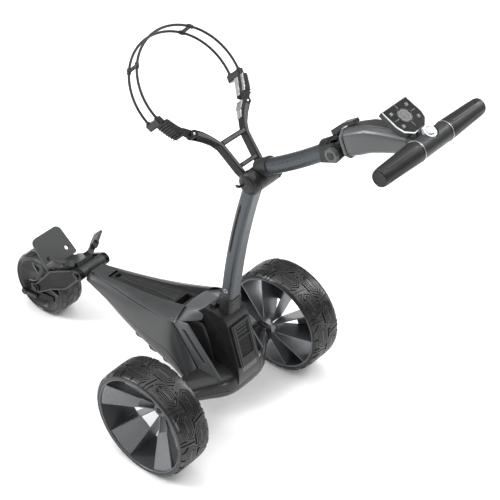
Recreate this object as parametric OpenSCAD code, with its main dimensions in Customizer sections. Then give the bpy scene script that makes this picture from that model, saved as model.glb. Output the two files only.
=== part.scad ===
// Electric golf trolley: three wheels, folding mast, bag cradle and powered rear axle.
// Millimetres. +Z is up, -Y is the driving direction, +X is the trolley's left side.
// Every module is written with the rear axle above y = 0; place() shifts it so that the
// origin is the middle of the whole trolley's footprint, on the ground.

/* [Rear wheels] */
// Radius of a rear tyre at its crown
wheel_r = 145; // [140:0.5:148]
// Distance from the middle of the trolley to the inner side of a rear tyre
wheel_in = 201; // [198:0.5:206]
// Width of a rear tyre
wheel_w = 95; // [90:0.5:98]
// Number of hollow petals in a rear wheel
petals = 5; // [3:1:6]
// Diameter of the drive axle
axle_d = 12; // [10:0.5:12]

/* [Front wheel] */
// Radius of the front tyre
front_r = 93; // [90:0.5:94]
// Half the width of the front tyre
front_half_w = 39; // [36:0.5:39]
// Distance of the front axle ahead of the rear axle
wheelbase = 624; // [622:1:632]

/* [Chassis] */
// Slope of the chassis top, falling towards the front
deck_slope = 10.3; // [10:0.1:10.6]
// Half width of the chassis top at its front end
deck_front = 25; // [24:0.5:27]
// Half width of the chassis top at its rear end
deck_rear = 88; // [84:0.5:90]
// Wall thickness of the moulded shells
wall = 3; // [2.5:0.1:3.2]

/* [Mast and shaft] */
// Lean of the mast at its foot, back from upright
mast_lean = 4.9; // [4.7:0.1:5.1]
// Radius of the mast's long backward curve
mast_bend = 1914; // [1900:1:1930]
// Width of the mast
mast_w = 40; // [38:0.5:41]
// Depth of the mast, front to back
mast_d = 34; // [32:0.5:34]
// Diameter of the curved upper shaft
shaft_d = 38; // [36:0.5:38]
// Rise of the upper shaft above level
shaft_rise = 35; // [34:0.1:36]

/* [Handle] */
// Distance from the middle of the handle bar to the end of a grip
grip_end = 168; // [160:1:175]
// Diameter of a grip
grip_d = 45; // [42:0.5:46]

/* [Bag support] */
// Radius of the elastic strap loop
strap_r = 137; // [134:1:140]
// Diameter of the elastic strap cord
strap_d = 4.5; // [4:0.1:5]

/* [Hidden] */
$fn = 64;

axle_y = 68;                      // rear axle, behind the origin
axle_r = axle_d / 2;
run = 0.04;                       // radial clearance of a running fit
gap = 0.4;                        // air between moving solids
deck_mid = [0, -237, 266.5];      // middle of the chassis top
deck_half = 171;                  // half the length of the chassis top
fold_axis = [0, -449, 223];       // hinge of the front section
front_axis = [0, -wheelbase, front_r];
mast_pivot = [0, -2, 343];        // hinge at the foot of the mast
mast_base = [0, 31.7, 343];       // where the mast's centre line meets the tower
mast_len = 412;                   // along the curve
mid_hinge = [0, 128, 770];        // hinge between mast and upper shaft
shaft_start = [0, 133, 795];
shaft_len = 240;
tilt_axis = [0, 345, 936];        // height adjustment hinge of the handle
neck_start = [0, 366, 960];
bar_axis = [0, 557, 1044];        // centre line of the handle bar
console_mid = [0, 494, 1075];
console_tilt = -24.4;
dial_seat = [0, 549.5, 1058];     // foot of the speed dial
bag_tilt = 45;                    // the bag leans back by this angle
base_mid = [0, -590, 216];        // middle of the bag's base plate
motor_axis = [0, 44.9, 148];
gear_teeth = 48;
pinion_teeth = 12;
gear_module = 1.5;
gear_x = -7;                      // inner face of the gear
motor_angle = 90 + atan2(motor_axis[2] - wheel_r, motor_axis[1]);
upper_joint = [89, 156];          // arm hinge in the plane of the bag bracket

// ---- shared helpers ----------------------------------------------------------------

module place() {
    translate([0, axle_y, 0]) children();
}

// Turns the children's Z axis to the trolley's +X.
module along_x(at = [0, 0, 0], x = 0) {
    translate([x, at[1], at[2]]) rotate([0, 90, 0]) children();
}

module rod_x(at, r, x0, x1) {
    along_x(at, x0) cylinder(r = r, h = x1 - x0);
}

module tube_x(at, r, bore, x0, x1) {
    difference() {
        rod_x(at, r, x0, x1);
        rod_x(at, bore, x0 - 1, x1 + 1);
    }
}

// A flat plate whose outline is drawn in side view as [y, z] points.
module side_plate(points, x0, x1) {
    translate([x0, 0, 0]) rotate([90, 0, 90]) linear_extrude(x1 - x0) polygon(points);
}

module both_sides() {
    children();
    mirror([1, 0, 0]) children();
}

module rounded_rect(w, d, r) {
    hull()
        for (sx = [-1, 1], sy = [-1, 1])
            translate([sx * (w / 2 - r), sy * (d / 2 - r)]) circle(r = r, $fn = 32);
}

// The sloping plane of the chassis top: x across, y back, z out of the deck.
module deck_frame() {
    translate(deck_mid) rotate([deck_slope, 0, 0]) children();
}

// The plane across the bag: x across, y forward and up, z towards the bag's foot.
module bag_frame(origin) {
    translate(origin) rotate([90 + bag_tilt, 0, 0]) children();
}

module mast_frame() {
    translate(mast_base) rotate([-mast_lean, 0, 0]) children();
}

// Sweeps a section (x across the depth, y across the width) along the mast's curve.
module mast_sweep(from, to) {
    a0 = mast_lean + from / mast_bend * 180 / PI;
    a1 = mast_lean + to / mast_bend * 180 / PI;
    translate([0, mast_base[1] + mast_bend * cos(mast_lean),
               mast_base[2] - mast_bend * sin(mast_lean)])
        rotate([90, 0, 90]) rotate([0, 0, 180 - a1])
            rotate_extrude(angle = a1 - a0, $fn = 360)
                translate([mast_bend, 0]) children();
}

module shaft_frame() {
    translate(shaft_start) rotate([shaft_rise - 90, 0, 0]) children();
}

function deck_width(y) =
    deck_front + (deck_rear - deck_front) * (y + deck_half) / (2 * deck_half);

// Skin through a row of sections that share one number of points.
module loft(sections) {
    n = len(sections[0]);
    last = len(sections) - 1;
    points = [for (s = sections, p = s) p];
    sides = [for (k = [0 : last - 1], i = [0 : n - 1], half = [0, 1])
        half == 0 ? [k * n + i, k * n + (i + 1) % n, (k + 1) * n + (i + 1) % n]
                  : [k * n + i, (k + 1) * n + (i + 1) % n, (k + 1) * n + i]];
    ends = [[for (i = [n - 1 : -1 : 0]) i], [for (i = [0 : n - 1]) last * n + i]];
    polyhedron(points, concat(ends, sides), convexity = 6);
}

// ---- chassis -----------------------------------------------------------------------

// Height of the cover's outer edge and of its inner rim above the deck plane.
function edge_z(y) = lookup(y, [[-197, -1], [-160, -2], [-90, -8], [0, -11], [90, -7], [171, 0]]);
function rim_z(y) = lookup(y, [[-197, 0], [-120, 1], [0, 4], [90, 11], [150, 21], [171, 24]]);

// Stations along the deck, with the depth and half width of the flared lower edge.
tub_stations = [-197, -160, -120, -40, 40, 125, 171];

function tub_depth(y) = lookup(y, [[-197, 26], [-171, 34], [-120, 52], [20, 88], [125, 112], [171, 122]]);
function tub_flare(y) = lookup(y, [[-197, 4], [-120, 10], [20, 16], [171, 19]]);

function tub_section(y, inset, top) =
    let (w = max(deck_width(y), deck_front - 1) - 0.5 - inset,
         flare = w + tub_flare(y),
         depth = tub_depth(y) - inset * 0.4)
    [[-w, y, top], [-flare, y, -depth], [16 - flare, y, -depth - 11 + inset * 0.6],
     [flare - 16, y, -depth - 11 + inset * 0.6], [flare, y, -depth], [w, y, top]];

module chassis_tub() {
    color("#232425") place() deck_frame() difference() {
        loft([for (y = tub_stations) tub_section(y, 0, edge_z(y) - 4.4)]);
        loft([for (y = [-168, -120, -40, 40, 125, 168]) tub_section(y, wall, 5)]);
        // window for the battery's lead
        translate([-20, 160, -64]) cube([40, 30, 28]);
        // the tongue of the front hinge and the feet of the struts
        turn_back() neck_tongue(0.05);
        turn_back() both_sides() side_plate(strut_outline, 75.95, 81.05);
    }
}

// Puts what is drawn in the trolley's frame into the deck's frame.
module turn_back() {
    rotate([-deck_slope, 0, 0]) translate(-deck_mid) children();
}

function cover_section(y, lift) =
    let (w = deck_width(y), wi = min(w - 4, 17 + (y + 197) * 0.075),
         e = edge_z(y) + lift, c = rim_z(y) + lift)
    [[-w, y, e], [-wi, y, c], [wi, y, c], [w, y, e],
     [w, y, e - 3], [wi, y, c - 3], [-wi, y, c - 3], [-w, y, e - 3]];

module battery_outline(clear) {
    polygon([[-15 - clear, -128 - clear], [15 + clear, -128 - clear],
             [38 + clear, 146 + clear], [-38 - clear, 146 + clear]]);
}

module top_cover() {
    color("#4f5152") place() deck_frame() difference() {
        loft([for (y = [-197, -160, -90, 0, 90, 150, 171]) cover_section(y, 0)]);
        translate([0, 0, -20]) linear_extrude(60) battery_outline(1.2);
        turn_back() both_sides() side_plate(strut_outline, 75.95, 81.05);
    }
}

// The battery lifts out of its well; its rear end is hollowed as a hand hold.
module battery() {
    color("#2b2c2d") place() deck_frame() difference() {
        translate([0, 0, -46]) linear_extrude(46) battery_outline(0);
        translate([-24, 108, -22]) cube([48, 24, 30]);
        translate([-9, -120, -10]) cube([18, 14, 20]);
        for (side = [-1, 1])
            translate([side * 14, 0, -1.5]) rotate([0, 0, -side * 4.6])
                translate([-1.2, -84, 0]) cube([2.4, 176, 4]);
        translate([-14, 132, -47]) cube([28, 20, 13]);
    }
}

module battery_socket() {
    color("#161616") place() deck_frame() difference() {
        translate([-12, 134, -58]) cube([24, 10, 22]);
        for (i = [-1 : 1])
            translate([i * 7, 137, -39]) cube([3, 4, 12], center = true);
    }
}

module controller_board() {
    color("#1d5a38") place() deck_frame() {
        translate([-34, 20, -86]) cube([68, 96, 2]);
        for (i = [0 : 3])
            translate([-26 + i * 14, 34, -84]) cube([9, 14, 7]);
        translate([-10, 76, -84]) cube([20, 22, 11]);
        for (side = [-1, 1])
            translate([side * 24, 96, -84]) cylinder(d = 9, h = 14, $fn = 24);
    }
}

tower_side = 38;
tower_outline = [[-64, 299], [-20, 334], [-16, 341], [46, 341], [57, 324], [92, 204],
                 [90, 189], [-45, 189]];

module mast_tower() {
    color("#3c3e3f") place() difference() {
        union() {
            difference() {
                side_plate(tower_outline, -tower_side, tower_side);
                side_plate([[-50, 296], [-16, 326], [40, 334], [50, 322], [86, 203],
                            [80, 180], [-40, 180]], -tower_side + wall, tower_side - wall);
            }
            both_sides() difference() {
                side_plate([[-10, 336], [6, 336], [6, 343], [-10, 343]], 14.4, 25);
                rod_x(mast_pivot, 7.9, 10, 30);
            }
            both_sides() rod_x(mast_pivot, 8, 14.4, 25);
        }
        rod_x(mast_pivot, 3, -30, 30);
        // room for the knuckle of the mast's foot
        rod_x(mast_pivot, 9.5, -14.4, 14.4);
        // cable way up into the mast
        translate([0, 26, 320]) cylinder(d = 14, h = 40);
        // window for the battery's lead
        translate([-20, -72, 234]) cube([40, 30, 28]);
    }
}

// Panel on the back of the tower, with a vent over a blank bay and a ledge below.
module rear_panel() {
    lean = atan2(57 - 92, 324 - 204);
    color("#47494a") place() translate([0, 92.2, 204]) rotate([-lean, 0, 0])
        rotate([90, 0, 180]) translate([0, 0, -0.1]) difference() {
            translate([-32, 0, 0.2]) cube([64, 116, 6]);
            translate([-20, 76, 3.2]) cube([40, 32, 4]);
            translate([-20, 24, 3.2]) cube([40, 48, 4]);
            for (i = [0 : 2])
                translate([-16, 80 + 9 * i, -1]) cube([32, 4, 6]);
        }
}

strut_outline = [[-90, 296], [-34, 305], [72, 186], [62, 172], [12, 166]];

module side_strut() {
    difference() {
        side_plate(strut_outline, 76, 81);
        side_plate([[-52, 281], [-42, 283], [26, 208], [14, 208]], 70, 90);
    }
}

module side_strut_left() {
    color("#505253") place() side_strut();
}

module side_strut_right() {
    color("#505253") place() mirror([1, 0, 0]) side_strut();
}

// Tongue between the hinge barrel and the front wall of the tub.
module neck_tongue(grow) {
    side_plate([[-452, 210 - grow], [-452, 236 + grow], [-434, 236 + grow], [-431, 227 + grow],
                [-404 + grow, 227 + grow], [-404 + grow, 208 - grow], [-432, 206 - grow]],
               -19 - grow, 19 + grow);
}

module neck_bracket() {
    color("#3a3b3c") place() difference() {
        union() {
            rod_x(fold_axis, 16, -40, 40);
            neck_tongue(0);
        }
        rod_x(fold_axis, 5, -45, 45);
    }
}

module fold_pins() {
    color("silver") place() {
        rod_x(fold_axis, 5 - run, -58, 58);
        rod_x(mast_pivot, 3 - run, -25, 25);
    }
}

module axle_fairing() {
    color("#303132") place() difference() {
        hull() {
            rod_x([0, 0, wheel_r], 28, -162, 162);
            rod_x([0, 0, wheel_r], 47, -60, 60);
            side_plate([[-38, 120], [40, 118], [92, 146], [92, 184], [-38, 163]], -68, 68);
            side_plate([[10, 124], [58, 144], [58, 158], [10, 170]], -135, 135);
        }
        hull() {
            rod_x([0, 0, wheel_r], 24, -158, 158);
            rod_x([0, 0, wheel_r], 44, -57, 57);
            side_plate([[-35, 123], [40, 121], [88, 148], [88, 180], [-35, 159]], -65, 65);
            side_plate([[10, 127], [54, 146], [54, 156], [10, 167]], -131, 131);
        }
        rod_x([0, 0, wheel_r], 16.6, -170, 170);
        // the tower and the tub stand in the open top
        translate([-tower_side - 0.6, -60, 150]) cube([2 * tower_side + 1.2, 160, 60]);
        // slots that take the feet of the struts
        both_sides() side_plate(strut_outline, 75.95, 81.05);
    }
}

// ---- drive -------------------------------------------------------------------------

function gear_points(teeth, m, root, tip) = [for (i = [0 : teeth - 1], k = [0 : 3])
    let (pitch = 360 / teeth,
         off = [-0.24, -0.09, 0.09, 0.24][k] * pitch,
         r = m * teeth / 2 + [-root, tip, tip, -root][k] * m)
    [r * cos(i * pitch + off), r * sin(i * pitch + off)]];

module gearbox_shape(shrink) {
    circle(r = 42.5 - shrink);
    rotate(motor_angle) translate([45, 0]) circle(r = 17 - shrink);
    rotate(motor_angle) translate([20, -17 + shrink]) square([25, 34 - 2 * shrink]);
}

module gearbox_case() {
    color("#8d9093") place() along_x([0, 0, wheel_r], -14) difference() {
        linear_extrude(24) gearbox_shape(0);
        translate([0, 0, -1]) linear_extrude(22) gearbox_shape(2.5);
        cylinder(r = 9, h = 60, center = true);
        rotate(motor_angle) translate([45, 0, 0]) cylinder(r = 6, h = 60);
    }
}

module gearbox_cover() {
    color("#7c7f82") place() along_x([0, 0, wheel_r], -17) difference() {
        linear_extrude(2.9) gearbox_shape(0);
        cylinder(r = 9, h = 60, center = true);
    }
}

module motor_can() {
    color("#9a9c9e") place() difference() {
        rod_x(motor_axis, 20, 10.2, 60);
        rod_x(motor_axis, 17.5, 14, 57);
        rod_x(motor_axis, 4.1, 5, 20);
    }
}

module motor_pinion() {
    color("#b9b9b4") place() {
        rod_x(motor_axis, 4, -5.9, 40);
        rod_x(motor_axis, 14, 22, 52);
        along_x(motor_axis, gear_x + 0.5) rotate(motor_angle + 180)
            linear_extrude(10) polygon(gear_points(pinion_teeth, gear_module, 0.9, 0.62));
    }
}

module drive_gear() {
    color("#c8b78a") place() along_x([0, 0, wheel_r], gear_x) difference() {
        rotate(motor_angle + 180 / gear_teeth)
            linear_extrude(11) polygon(gear_points(gear_teeth, gear_module, 0.9, 0.62));
        cylinder(r = axle_r, h = 40, center = true);
        for (i = [0 : 5])
            rotate(i * 60) translate([22, 0, -1]) cylinder(r = 6, h = 20);
    }
}

module drive_axle() {
    color("#c9ccd0") place() rod_x([0, 0, wheel_r], axle_r, -211, 211);
}

module axle_tubes() {
    color("#6d7073") place() both_sides() difference() {
        rod_x([0, 0, wheel_r], 16, 17.2, 172);
        rod_x([0, 0, wheel_r], 9, 10, 180);
        rod_x([0, 0, wheel_r], 12, 164, 180);
        rod_x([0, 0, wheel_r], 12, 10, 25);
    }
}

module axle_bearings() {
    color("#d4d6d8") place() both_sides() {
        tube_x([0, 0, wheel_r], 12, axle_r + run, 164, 172);
        tube_x([0, 0, wheel_r], 12, axle_r + run, 17.4, 25);
    }
}

// ---- rear wheels: drawn about Z, outer side up, then turned onto the axle ------------

rim_r = wheel_r - 14;
petal_turn = 325;

module rear_wheel_frame(side) {
    place() mirror([side < 0 ? 1 : 0, 0, 0]) along_x([0, 0, wheel_r], wheel_in) children();
}

// One deep side wall of a petal, from the rim to the hub, in the plane of the axle.
module petal_wall() {
    rotate([90, 0, 0]) linear_extrude(3, center = true)
        polygon([[0, -18], [14, -18], [114, 4], [114, wheel_w - 6], [0, 24]]);
}

module petal_face() {
    slope = atan2(wheel_w - 6 - 24 - 22, 66);
    for (side = [-1, 1])
        translate([50, 0, 41]) rotate([side * 5, -slope, 0]) linear_extrude(3)
            polygon([[0, 0], [98, 0], [98, side * 40.5], [0, side * 19]]);
}

module rear_rim(side) {
    color("#5c5e60") rear_wheel_frame(side) difference() {
        union() {
            difference() {
                union() {
                    translate([0, 0, 2]) cylinder(r = rim_r, h = wheel_w - 4);
                    translate([0, 0, wheel_w - 6]) cylinder(r = rim_r + 3, h = 5.5);
                }
                translate([0, 0, -1]) cylinder(r = rim_r - 4, h = wheel_w + 2);
            }
            intersection() {
                for (i = [0 : petals - 1])
                    rotate(petal_turn + i * 360 / petals) {
                        for (s = [-1, 1])
                            translate([16, s * 9.7, 0]) rotate(s * 14.6) petal_wall();
                        petal_face();
                    }
                translate([0, 0, -30]) cylinder(r = rim_r - 2, h = wheel_w + 27);
            }
            translate([0, 0, -25]) cylinder(r1 = 19, r2 = 24, h = 12);
            translate([0, 0, -13]) cylinder(r1 = 24, r2 = 17, h = 36);
        }
        translate([0, 0, -30]) cylinder(r = 13, h = 41);
        cylinder(r = 8 + 0.15, h = 60);
    }
}

module rear_rim_left() {
    rear_rim(1);
}

module rear_rim_right() {
    rear_rim(-1);
}

module rear_tyre(side) {
    color("#1c1c1d") rear_wheel_frame(side) rotate_extrude($fn = 96) polygon([
        [rim_r, 2], [rim_r, wheel_w - 6], [rim_r + 3, wheel_w - 6], [rim_r + 3, wheel_w - 0.5],
        [wheel_r - 8, wheel_w], [wheel_r - 3, wheel_w - 5], [wheel_r - 0.6, wheel_w - 17],
        [wheel_r, wheel_w - 31], [wheel_r, wheel_w - 44], [wheel_r - 3, wheel_w - 44.5],
        [wheel_r - 3, 44.5], [wheel_r, 44], [wheel_r, 31], [wheel_r - 0.6, 17],
        [wheel_r - 3, 5], [wheel_r - 8, 0], [rim_r + 1, 0]]);
}

module rear_tyre_left() {
    rear_tyre(1);
}

module rear_tyre_right() {
    rear_tyre(-1);
}

module wheel_clutch(side) {
    color("#a7a9ab") rear_wheel_frame(side) translate([0, 0, -22]) difference() {
        cylinder(r = 13, h = 32);
        translate([0, 0, -1]) cylinder(r = axle_r + run, h = 40);
    }
}

module wheel_clutch_left() {
    wheel_clutch(1);
}

module wheel_clutch_right() {
    wheel_clutch(-1);
}

module wheel_button(side) {
    color("#2a2a2a") rear_wheel_frame(side) translate([0, 0, 15.5]) {
        cylinder(r = 8, h = 8);
        translate([0, 0, 8]) cylinder(r1 = 8, r2 = 6.5, h = 1.5);
    }
}

module wheel_button_left() {
    wheel_button(1);
}

module wheel_button_right() {
    wheel_button(-1);
}

// ---- front section -----------------------------------------------------------------

module fork_arm() {
    difference() {
        union() {
            side_plate([[-464, 219], [-449, 207], [-500, 150], [-560, 118], [-613, 80],
                        [-636, 84], [-640, 100], [-618, 112], [-585, 150], [-556, 184],
                        [-500, 214], [-455, 238]], 41.5, 50);
            rod_x(fold_axis, 16, 40.4, 52);
            rod_x(front_axis, 15, 41.5, 52);
            side_plate([[-682, 44], [-684, 58], [-636, 84], [-600, 86], [-556, 92],
                        [-556, 76]], 43, 50);
        }
        rod_x(fold_axis, 5 + run, 30, 60);
        rod_x(front_axis, 5, 30, 60);
    }
}

module front_fork() {
    color("#1f2021") place() {
        both_sides() fork_arm();
        // bridge that ties the two arms behind the wheel
        side_plate([[-520, 152], [-512, 146], [-498, 160], [-498, 205], [-512, 203]], -42, 42);
    }
}

// Sloping base plate under the bag and the web that carries it back to the fork.
module bag_base() {
    color("#58595a") place() {
        bag_frame(base_mid) difference() {
            linear_extrude(6) hull() {
                translate([-32, 30]) circle(r = 18, $fn = 32);
                translate([32, 30]) circle(r = 18, $fn = 32);
                translate([-46, -34]) circle(r = 8, $fn = 32);
                translate([46, -34]) circle(r = 8, $fn = 32);
            }
            for (side = [-1, 1])
                translate([side * 33, -17, -1]) cylinder(r = 6, h = 9);
        }
        difference() {
            union() {
                side_plate([[-566, 184], [-556, 187], [-512, 214], [-476, 236], [-470, 226],
                            [-497, 206.2], [-512, 204.2], [-560, 180]], -39, 39);
                both_sides() arm_mount();
            }
            // seats and hinge bores of the two lower arms
            both_sides() bag_frame([0, -494, 226]) {
                translate([25.5, -16, -44]) cube([30, 32, 40]);
                translate([35, 0, -9]) cylinder(r = 3 + run, h = 14);
            }
        }
    }
}

// Block that holds a lower arm's hinge, square to the bag.
module arm_mount() {
    bag_frame([0, -494, 226]) {
        translate([24, -7, -4]) cube([17, 14, 12]);
        translate([34.8, 0, -4]) cylinder(r = 6.4, h = 12);
    }
}

module lower_arm() {
    bag_frame([0, -494, 226]) {
        translate([35, 0, -8.5]) cylinder(r = 3, h = 13);
        translate([0, 0, -14.4]) linear_extrude(10) hull() {
            translate([35, 0]) circle(r = 8, $fn = 32);
            translate([58, 14]) circle(r = 6, $fn = 32);
        }
        translate([0, 0, -18]) linear_extrude(20) hull() {
            translate([61, 16]) circle(r = 4, $fn = 32);
            translate([84, 31]) circle(r = 3, $fn = 32);
        }
    }
}

module lower_arm_left() {
    color("#6a6b6c") place() lower_arm();
}

module lower_arm_right() {
    color("#6a6b6c") place() mirror([1, 0, 0]) lower_arm();
}

module front_axle() {
    color("#c9ccd0") place() {
        rod_x(front_axis, 5, -54, 54);
        both_sides() rod_x(front_axis, 9, 52.2, 57);
    }
}

module front_rim() {
    color("#4a4b4d") place() along_x(front_axis, 0) difference() {
        union() {
            rotate_extrude($fn = 96) polygon([
                [12, -30], [18, -30], [20, -10], [34, -5], [77, -5], [78, -36], [82, -36],
                [82, 36], [78, 36], [77, 5], [34, 5], [20, 10], [18, 30], [12, 30]]);
            for (i = [0 : 4], s = [-1, 1])
                rotate(i * 72) translate([18, -2, s < 0 ? -24 : 4]) cube([60, 4, 20]);
        }
        cylinder(r = 12, h = 100, center = true);
    }
}

module front_tyre() {
    r0 = front_r - 11;
    color("#1c1c1d") place() along_x(front_axis, 0) rotate_extrude($fn = 96) polygon([
        [r0, -36], [r0, 36], [r0 + 2, front_half_w], [front_r - 6, front_half_w],
        [front_r - 1.5, front_half_w - 9], [front_r, front_half_w - 22], [front_r, 3],
        [front_r - 2, 2], [front_r - 2, -2], [front_r, -3],
        [front_r, 22 - front_half_w], [front_r - 1.5, 9 - front_half_w],
        [front_r - 6, -front_half_w], [r0 + 2, -front_half_w]]);
}

module front_bearings() {
    color("#d4d6d8") place() both_sides() tube_x(front_axis, 12, 5 + run, 20, 30);
}

// Knurled lever that trims the front axle, on the left end of the fork.
module tracking_lever() {
    color("#262728") place() difference() {
        union() {
            rod_x([0, -668, 60], 9, 50.4, 58);
            side_plate([[-676, 64], [-664, 52], [-620, 60], [-618, 70]], 51, 57);
        }
        rod_x([0, -668, 60], 2.5 , 40, 70);
    }
}

// ---- mast --------------------------------------------------------------------------

module mast_foot() {
    color("#191a1a") place() difference() {
        union() {
            mast_frame() translate([0, 0, -2]) linear_extrude(23)
                rounded_rect(mast_w + 5, mast_d + 5, 11);
            rod_x(mast_pivot, 8, -14, 14);
            side_plate([[-2, 344], [-2, 351], [14, 354], [14, 344]], -14, 14);
        }
        // flat sole, just clear of the tower
        translate([-60, 6.5, 300]) cube([120, 80, 41.4]);
        rod_x(mast_pivot, 3 + run, -30, 30);
        mast_frame() translate([0, 0, -20]) cylinder(d = 14, h = 80);
        // seat of the mast tube
        mast_sweep(8, 40) rounded_rect(mast_d, mast_w, 9);
    }
}

hinge_r = 27;

// Cuts that keep a part clear of the hinge barrel and of the half that turns in its slot.
module hinge_clearance() {
    rod_x(mid_hinge, hinge_r, -60, 60);
    rod_x(mid_hinge, hinge_r + 1.2, -10.4, 10.4);
}

module mast_tube() {
    color("#4d4f51") place() difference() {
        mast_sweep(8, mast_len) rounded_rect(mast_d, mast_w, 9);
        mast_sweep(7, mast_len + 2) rounded_rect(mast_d - 5, mast_w - 5, 6.5);
        hinge_clearance();
    }
}

module hinge_lower() {
    color("#2b2c2d") place() difference() {
        union() {
            rod_x(mid_hinge, hinge_r, 10, 41);
            along_x(mid_hinge, 41) cylinder(r1 = hinge_r, r2 = 21, h = 5);
            rod_x(mid_hinge, hinge_r, -30, -10);
            rod_x(mid_hinge, 8 - run, -20, 20);
            rod_x(mid_hinge, 5 - run, -40, -20);
            // spigot inside the mast, cut away where the other half turns
            difference() {
                mast_sweep(mast_len - 60, mast_len + 4)
                    rounded_rect(mast_d - 6, mast_w - 6, 6);
                rod_x(mid_hinge, hinge_r + 1.2, -10, 10);
                mast_sweep(mast_len - 70, mast_len - 20) circle(r = 7);
            }
        }
    }
}

module hinge_upper() {
    color("#3a3c3e") place() difference() {
        union() {
            rod_x(mid_hinge, hinge_r, -9.7, 9.7);
            shaft_frame() translate([0, 0, -8]) cylinder(r = shaft_d / 2 + 2.5, h = 38);
        }
        rod_x(mid_hinge, 8, -20, 20);
        // clears the two cheeks of the lower half
        both_sides() rod_x(mid_hinge, hinge_r + 1, 9.7, 60);
        shaft_sweep(0) circle(r = shaft_d / 2 + 0.02);
    }
}

module hinge_knob() {
    color("#161616") place() difference() {
        union() {
            rod_x(mid_hinge, 25, -48, -30.4);
            for (i = [0 : 11])
                along_x(mid_hinge, -47.5) rotate(i * 30) translate([24.5, 0, 0])
                    cylinder(r = 2.5, h = 16.6, $fn = 16);
        }
        rod_x(mid_hinge, 5, -41, -29);
    }
}

// Y-shaped bracket across the bag, in the plane of bag_frame.
bracket_outer = [[30, 10], [37, 36], [42, 78], [45, 98], [53, 114], [68, 130], [84, 143], [96, 151]];
bracket_inner = [[83, 163], [66, 148], [52, 130], [41, 111]];

function mirrored(points) = [for (i = [len(points) - 1 : -1 : 0]) [-points[i][0], points[i][1]]];

module bracket_outline() {
    difference() {
        polygon(concat(bracket_outer, bracket_inner, mirrored(concat(bracket_outer, bracket_inner))));
        polygon([[-28, 48], [28, 48], [35, 99], [-35, 99]]);
        polygon([[-22, 0], [22, 0], [28, 38], [-28, 38]]);
    }
}

module bag_bracket() {
    color("#4c4d4e") place() bag_frame(mid_hinge) translate([0, 0, 3]) difference() {
        union() {
            linear_extrude(22) bracket_outline();
            both_sides() translate([upper_joint[0], upper_joint[1], 0]) cylinder(r = 8.5, h = 22);
        }
        both_sides() translate([upper_joint[0], upper_joint[1], 5]) cylinder(r = 14, h = 12.4);
        both_sides() translate([upper_joint[0], upper_joint[1], -5]) cylinder(r = 3, h = 40);
        // seats on the hinge barrel
        translate([0, 0, -3]) rotate([0, 90, 0]) cylinder(r = hinge_r, h = 200, center = true);
    }
}

module upper_arm() {
    bag_frame(mid_hinge) translate([0, 0, 3]) {
        difference() {
            union() {
                translate([upper_joint[0], upper_joint[1], 5.4]) cylinder(r = 8.5, h = 11.6);
                translate([0, 0, 5.4]) linear_extrude(11.6) polygon([
                    [84, 163], [97, 152], [112, 172], [103, 180]]);
            }
            translate([upper_joint[0], upper_joint[1], 0]) cylinder(r = 3 + run, h = 40);
        }
        // curved outer blade, stepped down towards the bag's foot
        translate([0, 0, 5.4]) linear_extrude(38) polygon([
            [100, 173], [108, 164], [121, 181], [131, 203], [134, 210], [125, 213], [113, 191]]);
        arm_tip();
    }
}

// Block that holds the ends of the two strap cords.
module arm_tip() {
    end = [strap_r * cos(strap_low), strap_mid + strap_r * sin(strap_low)];
    translate([end[0], end[1], -3]) rotate([0, 0, strap_low]) difference() {
        translate([-6, -6, 20]) cube([12, 17, 50]);
        for (z = strap_offsets)
            translate([0, 0, z]) rotate([-90, 0, 0])
                translate([0, 0, -2]) cylinder(r = strap_d / 2 + 0.8, h = 20);
    }
}

module arm_pins() {
    color("silver") place() both_sides() bag_frame(mid_hinge)
        translate([upper_joint[0], upper_joint[1], 3.2]) cylinder(r = 3, h = 21.6);
}

module upper_arm_left() {
    color("#2a2b2c") place() upper_arm();
}

module upper_arm_right() {
    color("#2a2b2c") place() mirror([1, 0, 0]) upper_arm();
}

// The strap: two parallel cords from one upper arm round the bag to the other.
strap_mid = 254;
strap_low = -16;
strap_points = [for (i = [0 : 40])
    let (a = strap_low + i * (180 - 2 * strap_low) / 40)
    [strap_r * cos(a), strap_mid + strap_r * sin(a), 0]];

function unit(v) = v / norm(v);

module cord(points, d, sides) {
    last = len(points) - 1;
    rings = [for (i = [0 : last])
        let (t = unit(points[min(i + 1, last)] - points[max(i - 1, 0)]),
             u = [t[1], -t[0], 0])
        [for (k = [0 : sides - 1])
            points[i] + d / 2 * (cos(k * 360 / sides) * u + sin(k * 360 / sides) * [0, 0, 1])]];
    loft(rings);
}

strap_offsets = [27, 63];

module strap_cords() {
    color("#111111") place() bag_frame(mid_hinge)
        for (z = strap_offsets)
            translate([0, 0, z]) cord(strap_points, strap_d, 8);
}

module strap_spacers() {
    color("#0e0e0e") place() bag_frame(mid_hinge)
        for (a = [127, 42])
            translate([strap_r * cos(a), strap_mid + strap_r * sin(a), 45])
                rotate([0, 0, a]) difference() {
                    translate([-5, -5, -22]) cube([10, 10, 44]);
                    for (s = [-1, 1])
                        translate([0, 0, s * 18]) rotate([90, 0, 0])
                            cylinder(r = strap_d / 2 + 0.6, h = 30, center = true);
                }
}

// ---- upper shaft ---------------------------------------------------------------------

arc_r = 1400;

// Sweeps a section along the shaft's curve, and a little past each end of it.
module shaft_sweep(past) {
    half = asin(shaft_len / 2 / arc_r);
    more = past / arc_r * 180 / PI;
    shaft_frame() rotate([90, 0, 90])
        translate([-arc_r * cos(half), shaft_len / 2, 0]) rotate([0, 0, -half - more])
            rotate_extrude(angle = 2 * (half + more), $fn = 300)
                translate([arc_r, 0]) children();
}

module shaft_tube() {
    color("#5b6064") place() difference() {
        shaft_sweep(0) circle(r = shaft_d / 2);
        shaft_sweep(4) circle(r = shaft_d / 2 - 2.5);
        // clears both hinges
        rod_x(mid_hinge, hinge_r + 1, -60, 60);
        rod_x(tilt_axis, 19.5, -30, 30);
    }
}

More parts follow.
